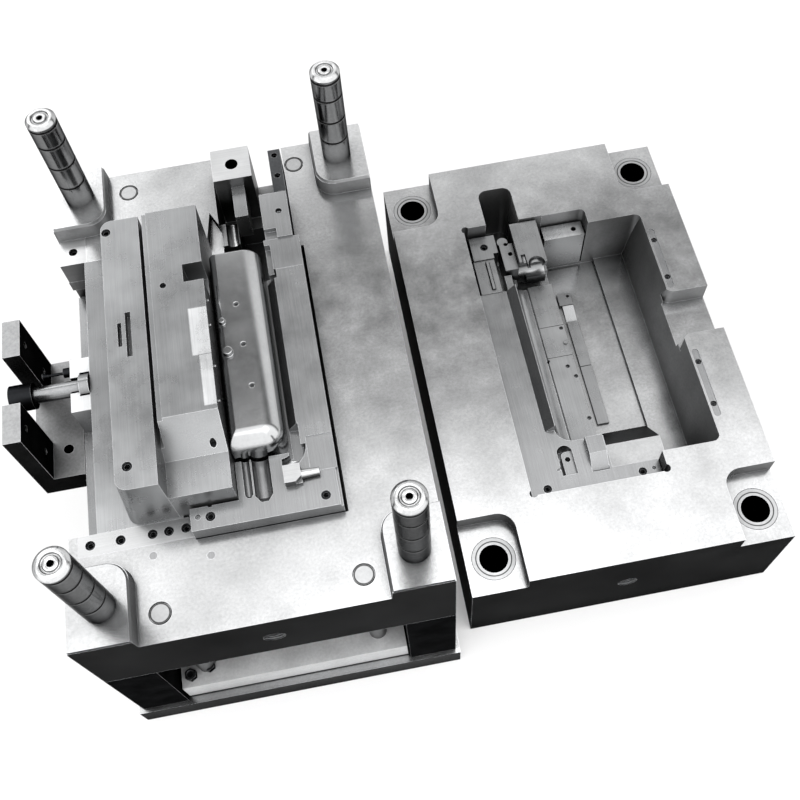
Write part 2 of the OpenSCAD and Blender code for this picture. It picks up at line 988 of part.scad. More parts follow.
module slider_nose_strips() {
    color("white")
        on_core()
            difference() {
                union() {
                    block(-35 + seat, -nose_front, -40.8, 27 - seat, ledge_h, slider_h);
                    block(-27 + seat, -nose_front, -111 + seat, -41.2, ledge_h, slider_h);
                }
                core_pin_places()
                    cylinder(h = 40, d = 4 + 2 * seat, center = true);
            }
}

// the small core pins that point from the nose at the bar
module core_pin_places() {
    for (p = [[44, 90], [5, 94], [-53, 92], [-100, 90]])
        translate([-nose_front, p[0], p[1]])
            rotate([0, 90, 0])
                children();
}

module slider_core_pins() {
    color("white")
        on_core()
            core_pin_places()
                translate([0, 0, -18])
                    cylinder(h = 20, d = 4);
}

module slider_screws() {
    color("dimgray")
        on_core() {
            heel_screw_places()
                translate([0, 0, -2])
                    socket_screw(small_screw, slider_h + 10);
            nose_screw_places()
                translate([0, 0, -40])
                    cylinder(h = 37, d = small_screw);
        }
}

module rod_coupling() {
    back = -foot_back - coupling_t;
    color("white")
        on_core()
            difference() {
                block(back, -foot_back, rod_y - 40, rod_y + 40, -60, 0);
                rod_slot_shape(back - eps, -foot_back + eps, rod_d + 1);
                rod_slot_shape(-foot_back - 13.5, -foot_back - 0.5, rod_d + 13);
                coupling_screw_places() {
                    translate([0, 0, -coupling_t - eps])
                        cylinder(h = coupling_t + 2 * eps, d = small_screw + 2 * seat);
                    translate([0, 0, -coupling_t - eps])
                        cylinder(h = small_screw + seat + 3, d = small_screw * screw_head + 2 * seat);
                }
                rod_along_x(back - eps, -foot_back + eps, trip_y, -rod_deep, 6 + 2 * seat);
            }
}

// a slot open above that takes the rod, or its head, from over it
module rod_slot_shape(x0, x1, d) {
    rod_along_x(x0, x1, rod_y, -rod_deep, d);
    block(x0, x1, rod_y - d / 2, rod_y + d / 2, -rod_deep, rod_deep + eps);
}

// the two screws of the coupling, running along +X
module coupling_screw_places() {
    for (s = [-1, 1])
        translate([-foot_back, rod_y + s * 28, -42])
            rotate([0, 90, 0])
                children();
}

module coupling_screws() {
    color("dimgray")
        on_core()
            coupling_screw_places()
                translate([0, 0, 2 - coupling_t])
                    mirror([0, 0, 1])
                        socket_screw(small_screw, coupling_t + 10);
}

module piston_rod() {
    color("lightgray")
        on_core() {
            rod_along_x(bracket_x + 12, -foot_back - 13, rod_y, -rod_deep, rod_d);
            rod_along_x(-foot_back - 13.2, -foot_back - 0.8, rod_y, -rod_deep, rod_d + 12);
        }
}

module rod_end_nut() {
    color("black")
        on_core()
            difference() {
                rod_along_x(bracket_x - 5, bracket_x + post_t + 2, rod_y, -rod_deep, rod_d + 14);
                rod_along_x(bracket_x + 12 - seat, bracket_x + post_t + 3, rod_y, -rod_deep,
                    rod_d + 2 * seat);
            }
}

module trip_screw() {
    tip = -foot_back - coupling_t - 38;
    color("black")
        on_core()
            translate([tip, trip_y, -rod_deep])
                rotate([0, 90, 0]) {
                    cylinder(h = coupling_t + 32, d = 4);
                    cylinder(h = 7, r1 = 5, r2 = 2);
                    translate([0, 0, 28])
                        cylinder(h = 10 - seat, d = 13);
                }
}

module end_slider_carriage() {
    low = -insert_deep + slide_gap / 2;
    color("gainsboro")
        on_core()
            difference() {
                union() {
                    block(end_left + 1, end_right, end_near, end_far, low, end_h);
                    block(end_left + 1, rail_x - slide_gap, end_near - 20, end_far, low, -45);
                }
                translate([end_left + 29, 293, end_h])
                    rotate([180 + angle_lean, 0, 0])
                        translate([0, 0, -10])
                            cylinder(h = 85, d = angle_hole_d);
                translate([end_left + 32, end_far - 26, 10])
                    rotate([-90, 0, 0])
                        translate([0, 0, -40])
                            cylinder(h = 50, d = 6 + 2 * seat);
            }
}

module end_slider_arm() {
    color("silver")
        on_core()
            difference() {
                block(end_left + 23, end_left + 23 + arm_w, end_near - arm_reach, end_near, -15,
                    30);
                translate([end_left + 32, end_near - 20, 10])
                    rotate([-90, 0, 0])
                        cylinder(h = 30, d = 6 + 2 * seat);
            }
}

module arm_screw() {
    color("dimgray")
        on_core()
            translate([end_left + 32, end_near - 20, 10])
                rotate([-90, 0, 0])
                    cylinder(h = 34, d = 6);
}

// the outline that both ejector plates share, with the pillars' clearance holes
module ejector_plate(z0, z1) {
    difference() {
        block(-plate_half, plate_half, -hy + 5, hy - 5, z0, z1);
        for (c = corners)
            post(c[0] * pillar_x, c[1] * pillar_y, z0 - eps, z1 + eps, pillar_d + 4);
        ejector_screw_places()
            translate([0, 0, -38])
                cylinder(h = 80, d = small_screw + 2 + 2 * seat);
        children();
    }
}

module ejector_screw_places() {
    for (sx = [-1, 1], y = [-hy + 60, 0, hy - 60])
        translate([sx * (plate_half - 22), y, ejector_top])
            children();
}

module ejector_base_plate() {
    color("gray")
        ejector_plate(ejector_z, ejector_z + ejector_t);
}

module ejector_retainer_plate() {
    color("silver")
        ejector_plate(ejector_z + ejector_t, ejector_top) {
            ejector_screw_places()
                translate([0, 0, -10])
                    cylinder(h = 20, d = 15 + 2 * seat);
            for (c = corners)
                translate([c[0] * return_x, c[1] * return_y, ejector_z + ejector_t - eps]) {
                    cylinder(h = 60, d = return_d + 2 * seat);
                    cylinder(h = 8 + eps, d = return_d + 5 + 2 * seat);
                }
            for (p = ejector_holes)
                translate([p[0], p[1], ejector_z + ejector_t - eps]) {
                    cylinder(h = 60, d = ejector_d + 2 * seat);
                    cylinder(h = 5 + eps, d = ejector_d + 5 + 2 * seat);
                }
        }
}

module ejector_plate_screws() {
    color("dimgray")
        ejector_screw_places() {
            translate([0, 0, -9.8])
                cylinder(h = 9.8, d = 15);
            translate([0, 0, -38])
                cylinder(h = 30, d = small_screw + 2);
        }
}

module return_pins() {
    color("gainsboro")
        for (c = corners)
            translate([c[0] * return_x, c[1] * return_y, ejector_z + ejector_t]) {
                cylinder(h = parting_z - ejector_z - ejector_t, d = return_d);
                cylinder(h = 8, d = return_d + 5);
            }
}

module ejector_pins() {
    color("gainsboro")
        for (p = ejector_holes)
            translate([p[0], p[1], ejector_z + ejector_t]) {
                cylinder(h = parting_z + bar_h - 3 - ejector_z - ejector_t, d = ejector_d);
                cylinder(h = 5, d = ejector_d + 5);
            }
}

module cavity_plate() {
    color("silver")
        on_cavity()
            difference() {
                block(-hx, hx, -hy, hy, -cavity_t, 0);
                for (c = corners) {
                    mirror([c[0] < 0 ? 1 : 0, 0, 0])
                        mirror([0, c[1] < 0 ? 1 : 0, 0])
                            pad_layer(-pad_h - 1, eps, pad_gap, 0);
                    post(c[0] * pin_x, c[1] * pin_y, -cavity_t - eps, eps, bushing_od + 2 * seat);
                    post(c[0] * pin_x, c[1] * pin_y, -pad_h - 9, eps, collar_d + 2 * seat);
                }
                slider_pocket();
                cavity_insert_pocket();
                rod_notch();
                for (y = wear_plate_y)
                    locking_plate_shape(y, -8, 0.2);
                translate([0, -hy - eps, -cavity_t / 2])
                    rotate([-90, 0, 0])
                        cylinder(h = lift_deep + eps, d = lift_d);
                post(sprue_x, 0, -cavity_t - eps, ring_t - cavity_t, locating_d + 2 * seat);
                post(sprue_x, 0, -cavity_t, -insert_deep + eps, 38 + 2 * seat);
            }
}

// the wedge-sided pocket that takes the side slider when the mould is closed
module slider_pocket() {
    near_y = -channel_near;
    intersection() {
        union() {
            round_block(10, rim_x + eps, near_y, pocket_far_y, -ledge_h - 1, eps, [0, 12, 12, 0]);
            along_x(10, pocket_slope)
                polygon([[-slope_foot, -ledge_h - 1], [5 - slope_top, -nose_floor],
                    [pocket_far_y, -nose_floor], [pocket_far_y, -ledge_h], [-slope_foot, -ledge_h]]);
            round_block(pocket_slope - eps, rim_x + eps, near_y, pocket_far_y, -wedge_deep,
                -ledge_h, [0, 12, 12, 0]);
        }
        along_y(near_y, pocket_far_y)
            polygon([[9, -nose_floor], [heel_back, -nose_floor], [heel_back, -wedge_deep],
                [rim_x, 0], [rim_x, 2], [9, 2]]);
    }
}

// the pocket of the cavity insert with its corner reliefs, the shelf's niche and the end slot
module cavity_insert_pocket() {
    left = -pocket_right;
    near_y = -insert_near - 0.5;
    block(left, 11, near_y, cavity_far + 2, -insert_deep, eps);
    block(0, near_plate_right + 2, near_y, -channel_near + eps, -insert_deep, eps);
    round_block(5, niche_right, pocket_far_y - 6, cavity_far + 1, -wedge_deep, eps, [0, 0, 8, 0]);
    for (p = [[left + 3, near_y + 3], [left + 3, cavity_far - 1], [near_plate_right, near_y + 4]])
        post(p[0], p[1], -insert_deep, eps, 12);
    round_block(-79, -26, 190, 297, -end_slot_deep, eps, [0, 0, 14, 14]);
    post(-58, 276, -cavity_t - eps, 0, 16);
}

// the notch through the right wall for the rod and its coupling
module rod_notch() {
    low = rod_y - notch_w / 2;
    high = rod_y + notch_w / 2;
    block(heel_back - 10, hx + eps, low, high, -notch_deep, eps);
    translate([0, 0, -notch_deep])
        linear_extrude(notch_deep + eps) {
            trim_corner(rim_x - 2, low, 1, -1, 13);
            trim_corner(rim_x - 2, high, 1, 1, 13);
        }
}

// the long shape with round ends of a wear plate in the parting face
module locking_plate_shape(y, z, grow) {
    l = wedge_plate_l / 2 + grow;
    r = 5 + grow;
    round_block(wear_plate_x - r, wear_plate_x + r, y - l, y + l, z, grow > 0 ? eps : -1,
        [r, r, r, r]);
}

module guide_bushings() {
    color("gray")
        on_cavity()
            for (c = corners)
                translate([c[0] * pin_x, c[1] * pin_y, 0])
                    difference() {
                        union() {
                            post(0, 0, -cavity_t, -pad_h - 2, bushing_od);
                            post(0, 0, -pad_h - 9, -pad_h - 1, collar_d);
                        }
                        post(0, 0, -cavity_t - eps, 0, pin_d + 2 * run_gap);
                    }
}

module cavity_insert() {
    color("silver")
        on_cavity()
            difference() {
                union() {
                    block(-insert_right, 10 - seat, -insert_near, cavity_far, -insert_deep,
                        insert_top);
                    block(0, near_plate_right, -insert_near, -channel_near - seat, -insert_deep,
                        insert_top);
                    trough_ridge();
                }
                trough_cut();
                block(-insert_right - eps, -67 + seat, 118 - seat, cavity_far + eps, insert_low, eps);
                block(-67, 11, 146 - seat, cavity_far + eps, insert_low, eps);
                block(-79.5, -25.5, 190 - seat, cavity_far + eps, -insert_deep - eps, eps);
                near_details();
                for (p = strip_holes)
                    post(p[0], p[1], -trough_deep - 6, 0, 6);
                for (x = [-88, 50])
                    translate([x, near_screw_y, insert_top - 2])
                        screw_seat(small_screw, 20);
                post(near_plate_right - 9, near_screw_y + 2, insert_top - 6, eps, 6);
                post(sprue_x, 0, -insert_deep - eps, -trough_deep + eps, 5);
            }
}

// the ridge along the trough that fits the sloping shoulder beside the bar
module trough_ridge() {
    along_y(20 - bar_near, insert_far - 2)
        polygon([[trough_left - 15, insert_top - eps], [trough_left - eps, insert_top + ridge_h],
            [trough_left + eps, insert_top + ridge_h], [trough_left + eps, insert_top - eps]]);
}

// the moulding trough with its quarter-round left side, the seam beside the strips and the
// pit at its far end
module trough_cut() {
    seam = trough_left + bar_r_right;
    intersection() {
        along_y(-bar_near - 1, bar_far + 4)
            rounded(trough_left, trough_right + 20, -trough_deep, 0, [bar_r_right, 0, 0, 0]);
        round_block(trough_left, trough_right + 20, -bar_near - 1, bar_far + 5, -insert_deep, 0,
            [bar_r_right, 0, 0, 20]);
    }
    block(seam + 1, seam + 3, strip_seams[0], bar_far, -trough_deep - 3, 0);
    round_block(trough_left + 10, trough_right + eps, bar_far, trough_far, -insert_deep + 5, eps,
        [0, 0, 0, 22]);
    intersection() {
        round_block(trough_left, trough_right + 20, bar_far - 8, trough_far, insert_top - 18, eps,
            [0, 0, 0, 28]);
        along_y(bar_far - 8, trough_far)
            rounded(trough_left, trough_right + 20, insert_top - 18, eps, [14, 0, 0, 0]);
    }
}

// the pit of the near gate, its arm's slot and the seat of the near block
module near_details() {
    difference() {
        round_block(-62, -40, -202, -156, -52, eps, [0, 0, 11, 11]);
        round_block(-56, -40, -202, -164, -53, insert_top - 6, [0, 0, 0, 7]);
    }
    post(-48, -176, -52, eps, 8);
    translate([-66, -192, insert_top - 4])
        rotate([0, 0, 25])
            block(-2, 20, -2, 2, 0, 30);
    block(-19 - seat, 6 + seat, -204, -bar_near, -42, eps);
}

module cavity_insert_screws() {
    color("dimgray")
        on_cavity() {
            for (x = [-88, 50])
                translate([x, near_screw_y, insert_top - 2])
                    socket_screw(small_screw, 20);
            translate([-87, 204, insert_top])
                socket_screw(small_screw, 20);
        }
}

module cavity_strips() {
    left = trough_left + bar_r_right + 3;
    color("gainsboro")
        on_cavity()
            difference() {
                union() {
                    for (i = [0:2])
                        block(left, trough_right - 0.5, strip_seams[i],
                            strip_seams[i + 1] - 0.6, -trough_deep, -trough_deep + 2);
                    post(4, 27, -trough_deep, -trough_deep + 4, 6);
                }
                for (p = strip_holes)
                    post(p[0], p[1], -trough_deep - eps, 0, 6);
                post(sprue_x, 0, -trough_deep - eps, 0, 5);
            }
}

module shelf_block() {
    color("white")
        on_cavity()
            difference() {
                block(11.5, niche_right - 3, pocket_far_y - 1, cavity_far - 2, -wedge_deep, -28);
                post(62, 213, -40, 0, 8);
            }
}

module corner_block() {
    color("silver")
        on_cavity()
            difference() {
                block(-insert_right + 4, -67, 181 + seat, cavity_far - 3, insert_low, insert_top + 3);
                block(-75, -66, 180, 190, insert_low - eps, eps);
                translate([-87, 204, insert_top])
                    screw_seat(small_screw, 20);
            }
}

module side_block() {
    color("silver")
        on_cavity() {
            block(-insert_right + 3, -76, 118, 181, insert_low, insert_top + 1);
            along_y(124, 176)
                polygon([[-92, insert_top], [-84, insert_top], [-86, insert_top + 4],
                    [-90, insert_top + 4]]);
        }
}

module gate_block() {
    top = -5;
    color("silver")
        on_cavity()
            difference() {
                block(-42, 1, 146, cavity_far - 1, insert_low, top);
                block(-43, -30, 145, 152, insert_low - eps, eps);
                translate([-16, 146, top])
                    sphere(d = 26);
                translate([-34, 150, top])
                    rotate([-90, 0, 0])
                        cylinder(h = 16, d = 7);
                translate([-25, 151, -28])
                    rotate([0, 90, 0])
                        cylinder(h = 60, d = 28, center = true);
            }
}

module near_block() {
    top = insert_top + 12;
    color("silver")
        on_cavity()
            along_x(-19, 6)
                polygon([[-204 + seat, -42], [-204 + seat, insert_top - 4], [-180, top],
                    [-bar_near - 4, top], [-bar_near - 4, -42]]);
}

module gate_side_block() {
    top = insert_top + 8;
    color("silver")
        on_cavity()
            difference() {
                union() {
                    block(-64, -43, 150, 200, insert_low, top);
                    post(-57, 206, insert_low + 24, top - 2, 17);
                }
                post(-53, 200, -40, 0, 7);
                post(-50, 180, -40, 0, 7);
            }
}

module pocket_strips() {
    color("silver")
        on_cavity() {
            block(28, 46, -97, 6, -nose_floor, 4 - nose_floor);
            block(28, 46, 7, 91, -nose_floor, 4 - nose_floor);
            along_x(28, 46)
                polygon([[91.5, -nose_floor], [121, -nose_floor], [121, 5 - nose_floor],
                    [91.5, 1 - nose_floor]]);
            difference() {
                block(24, 46, 121.5, 143, -nose_floor, 6 - nose_floor);
                post(41, 138, -nose_floor - eps, 0, 5);
            }
        }
}

module locking_wear_plates() {
    color("gainsboro")
        on_cavity()
            difference() {
                for (y = wear_plate_y)
                    locking_plate_shape(y, -8, 0);
                wear_bolt_places()
                    screw_seat(small_screw - 2, 12);
            }
}

module wear_bolt_places() {
    for (y = wear_plate_y, s = [-1, 1])
        translate([wear_plate_x, y + s * 35, -2])
            children();
}

module wear_plate_bolts() {
    color("dimgray")
        on_cavity()
            wear_bolt_places()
                post(0, 0, -6, 0, 5);
}

module sprue_bushing() {
    low = ring_t - cavity_t;
    color("gray")
        on_cavity()
            difference() {
                post(sprue_x, 0, low, -insert_deep, 38);
                translate([sprue_x, 0, low - seat])
                    cylinder(h = -insert_deep - low + 2 * seat, r1 = 1.5, r2 = 2.5);
            }
}

module locating_ring() {
    color("gray")
        on_cavity()
            difference() {
                post(sprue_x, 0, -cavity_t, ring_t - cavity_t, locating_d);
                post(sprue_x, 0, -cavity_t - eps, ring_t - cavity_t + eps, 36);
                ring_screw_places() {
                    cylinder(h = ring_t + 5, d = 6 + 2 * seat);
                    translate([0, 0, -eps])
                        cylinder(h = 6 + eps, d = 10 + 2 * seat);
                }
            }
}

module ring_screw_places() {
    for (s = [-1, 1])
        translate([sprue_x + s * 34, 0, -cavity_t])
            children();
}

module locating_ring_screws() {
    color("dimgray")
        on_cavity()
            ring_screw_places() {
                translate([0, 0, 0.5])
                    cylinder(h = 5.4, d = 10);
                translate([0, 0, 5])
                    cylinder(h = 9, d = 6);
            }
}

bottom_clamp_plate();
spacer_block_left();
spacer_block_right();
core_plate();
frame_screws();
guide_pins();
support_pillars();
stop_buttons();
core_insert();
core_bar();
core_insert_screws();
near_gib_rail();
far_gib_block();
gib_screws();
slider_wear_plate();
wear_plate_screws();
insert_block_a();
insert_block_b();
runner_pin_block();
end_guide_rail();
end_rail_screws();
flush_plugs();
hydraulic_bracket();
bracket_screws();
slider_foot();
slider_heel_plate();
slider_nose_block();
slider_nose_strips();
slider_core_pins();
slider_screws();
rod_coupling();
coupling_screws();
piston_rod();
rod_end_nut();
trip_screw();
end_slider_carriage();
end_slider_arm();
arm_screw();
ejector_base_plate();
ejector_retainer_plate();
ejector_plate_screws();
return_pins();
ejector_pins();
cavity_plate();
guide_bushings();
cavity_insert();
cavity_strips();
pocket_strips();
shelf_block();
corner_block();
side_block();
gate_block();
gate_side_block();
near_block();
locking_wear_plates();
wear_plate_bolts();
cavity_insert_screws();
sprue_bushing();
locating_ring();
locating_ring_screws();
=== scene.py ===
"""Looks of the opened injection mould: steel finishes, threads, bolt heads, studio, camera."""

import logging
import math
from dataclasses import dataclass
from enum import Enum

import bmesh
import bpy
import numpy as np
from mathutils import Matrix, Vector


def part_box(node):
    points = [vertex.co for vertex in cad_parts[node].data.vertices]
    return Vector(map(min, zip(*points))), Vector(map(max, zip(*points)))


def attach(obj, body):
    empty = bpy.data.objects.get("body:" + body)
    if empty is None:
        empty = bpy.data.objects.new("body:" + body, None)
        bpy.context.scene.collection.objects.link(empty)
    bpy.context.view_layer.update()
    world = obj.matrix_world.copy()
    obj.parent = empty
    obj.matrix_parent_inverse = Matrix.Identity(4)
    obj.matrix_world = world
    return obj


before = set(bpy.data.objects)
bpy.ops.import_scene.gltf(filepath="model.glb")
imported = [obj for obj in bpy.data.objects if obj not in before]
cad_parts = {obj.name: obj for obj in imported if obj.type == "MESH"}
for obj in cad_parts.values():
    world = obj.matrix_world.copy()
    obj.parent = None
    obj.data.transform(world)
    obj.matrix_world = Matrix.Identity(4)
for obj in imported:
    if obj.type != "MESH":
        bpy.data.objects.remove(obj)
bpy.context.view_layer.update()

log = logging.getLogger("mould")

Colour = tuple[float, float, float]
Point = tuple[float, float, float]
Span = tuple[float, float]
Socket = bpy.types.NodeSocket

# points of a mesh that lie nearer than this, in metres, become one
MERGE = 1e-6

# noise cells per metre: broad clouds, smudges, and tool marks along, across and without a lay
CLOUD = (7.0, 7.0, 7.0)
SMUDGE = (26.0, 26.0, 26.0)
LONG = 14.0
FINE = 900.0
SWIRL = 260.0

# the stretches of each noise, and of the open share, over which a surface changes
CLOUD_LIMITS = (0.3, 0.75)
SMUDGE_LIMITS = (0.3, 0.7)
GLOSS_LIMITS = (0.25, 0.75)
MARK_LIMITS = (0.3, 0.7)
OPEN_LIMITS = (0.25, 0.85)

# the factors on the roughness where a smudge is least and most
SMUDGE_GLOSS = (0.85, 1.2)

# reach of the painted shade in shut-in places, and the tool marks' height, in metres
SHADE_REACH = 0.07
MARK_HEIGHT = 0.0004

# the bump's strength for a finish whose marks are 1
MARK_STRENGTH = 0.25

# the rays that look for neighbours, for worn edges and for rounded ones
SKY_RAYS = 6
EDGE_RAYS = 4
FILLET_RAYS = 8

# the Y over which the painted highlight on the near end fades out, in metres
NEAR_HIGHLIGHT_FADE = (-0.18, -0.11)

# the share of a normal's length along Z that tells upright faces from level ones
UPRIGHT_TO_LEVEL = (0.45, 0.9)

# the cosines between a face's normal and its fillet's, from no edge to a full one
FLAT_TO_EDGE = (0.99, 0.88)

# the Mix node's colour sockets, which share their names with its number sockets
MIX_BASE, MIX_TOP, MIX_RESULT = 6, 7, 2


class Lay(Enum):
    """The way in which a surface's tool marks run, as noise cells per metre on each axis."""

    ALONG_X = (LONG, FINE, FINE)
    ALONG_Y = (FINE, LONG, FINE)
    SWIRLED = (SWIRL, SWIRL, SWIRL)


class NodeSheet:
    """A node tree with short ways to add the nodes that the finishes and the studio share."""

    def __init__(self, tree: bpy.types.NodeTree) -> None:
        """Takes the tree to fill."""
        self.tree = tree

    @property
    def shader(self) -> bpy.types.Node:
        """The Principled shader of a material's tree."""
        return self.tree.nodes["Principled BSDF"]

    def add(self, kind: str) -> bpy.types.Node:
        """Adds a node of the named kind."""
        return self.tree.nodes.new(kind)

    def link(self, source: Socket, target: Socket) -> None:
        """Links one socket to another."""
        self.tree.links.new(source, target)

    def feed(self, socket: Socket, value: Socket | float) -> None:
        """Sets a socket from a number, or links it to a socket.

        Args:
            socket: the socket to set.
            value: the number or the socket.
        """
        if isinstance(value, Socket):
            self.link(value, socket)
        else:
            socket.default_value = value

    def split(self, vector: Socket) -> bpy.types.NodeOutputs:
        """Parts a vector into its X, Y and Z.

        Args:
            vector: the vector's socket.

        Returns:
            The three sockets, by name.
        """
        node = self.add("ShaderNodeSeparateXYZ")
        self.link(vector, node.inputs["Vector"])
        return node.outputs

    def noise(self, place: Socket, cells: Point, detail: float, rough: float) -> Socket:
        """Adds noise on scaled coordinates.

        Args:
            place: the coordinates to read.
            cells: the noise cells per metre along each axis.
            detail: the noise's detail.
            rough: the noise's roughness.

        Returns:
            The noise's value socket.
        """
        mapping = self.add("ShaderNodeMapping")
        mapping.inputs["Scale"].default_value = cells
        self.link(place, mapping.inputs["Vector"])
        node = self.add("ShaderNodeTexNoise")
        node.inputs["Scale"].default_value = 1.0
        node.inputs["Detail"].default_value = detail
        node.inputs["Roughness"].default_value = rough
        self.link(mapping.outputs["Vector"], node.inputs["Vector"])
        return node.outputs["Fac"]

    def ramp(self, value: Socket, limits: Span, levels: Span) -> Socket:
        """Maps a value between two limits to two levels along a straight line.

        Args:
            value: the value's socket.
            limits: where the line starts and ends.
            levels: what the line gives there, held beyond its ends.

        Returns:
            The level's socket.
        """
        node = self.add("ShaderNodeMapRange")
        self.link(value, node.inputs["Value"])
        node.inputs["From Min"].default_value, node.inputs["From Max"].default_value = limits
        node.inputs["To Min"].default_value, node.inputs["To Max"].default_value = levels
        return node.outputs["Result"]

    def maths(self, operation: str, first: Socket | float, second: Socket | float = 0.0) -> Socket:
        """Adds a Math node on two numbers or sockets.

        Args:
            operation: the node's operation.
            first: its first input.
            second: its second input, where the operation has one.

        Returns:
            The result's socket.
        """
        node = self.add("ShaderNodeMath")
        node.operation = operation
        self.feed(node.inputs[0], first)
        self.feed(node.inputs[1], second)
        return node.outputs["Value"]

    def product(self, first: Socket | float, *others: Socket | float) -> Socket:
        """Multiplies numbers or sockets, in the order in which they are given.

        Args:
            first: the first factor.
            others: the other factors.

        Returns:
            The product's socket.
        """
        for other in others:
            first = self.maths("MULTIPLY", first, other)
        return first

    def distance(self, first: Socket, second: float) -> Socket:
        """Gives how far a value is from a number, without its sign."""
        return self.maths("ABSOLUTE", self.maths("SUBTRACT", first, second))

    def scaled(self, colour: Colour, factor: Socket) -> Socket:
        """Multiplies a colour by a factor.

        Args:
            colour: the colour.
            factor: the factor's socket.

        Returns:
            The socket of the colour that results.
        """
        node = self.add("ShaderNodeVectorMath")
        node.operation = "SCALE"
        node.inputs[0].default_value = colour
        self.link(factor, node.inputs["Scale"])
        return node.outputs["Vector"]

    def mix(self, factor: Socket, base: Socket, top: Colour) -> Socket:
        """Mixes a colour over a socket's colour.

        Args:
            factor: how much of the upper colour shows.
            base: the lower colour's socket.
            top: the upper colour.

        Returns:
            The socket of the mixed colour.
        """
        node = self.add("ShaderNodeMix")
        node.data_type = "RGBA"
        self.link(factor, node.inputs["Factor"])
        self.link(base, node.inputs[MIX_BASE])
        node.inputs[MIX_TOP].default_value = (*top, 1.0)
        return node.outputs[MIX_RESULT]

    def open_sky(self, reach: float) -> Socket:
        """Gives how open a surface is to its surroundings.

        Args:
            reach: how far a neighbour still counts, in metres.

        Returns:
            The socket of that share, 1 where nothing is near.
        """
        node = self.add("ShaderNodeAmbientOcclusion")
        node.samples = SKY_RAYS
        node.inputs["Distance"].default_value = reach
        return node.outputs["AO"]

    def rounded_normal(self, radius: float, samples: int) -> Socket:
        """Gives the normal that a fillet of this radius would have near an edge.

        Args:
            radius: the fillet's radius, in metres.
            samples: how many rays look for edges.

        Returns:
            The normal's socket.
        """
        bevel = self.add("ShaderNodeBevel")
        bevel.samples = samples
        bevel.inputs["Radius"].default_value = radius
        return bevel.outputs["Normal"]

    def edge_mask(self, width: float) -> Socket:
        """Marks the surface within a width of its sharp edges.

        The mask follows the cosine between the surface's own normal and the normal that a
        fillet of that radius would give there, spread to the range 0 to 1.

        Args:
            width: the radius of the fillet, in metres.

        Returns:
            The mask's socket, 1 on an edge.
        """
        geometry = self.add("ShaderNodeNewGeometry")
        dot = self.add("ShaderNodeVectorMath")
        dot.operation = "DOT_PRODUCT"
        self.link(self.rounded_normal(width, EDGE_RAYS), dot.inputs[0])
        self.link(geometry.outputs["True Normal"], dot.inputs[1])
        return self.ramp(dot.outputs["Value"], FLAT_TO_EDGE, (0.0, 1.0))


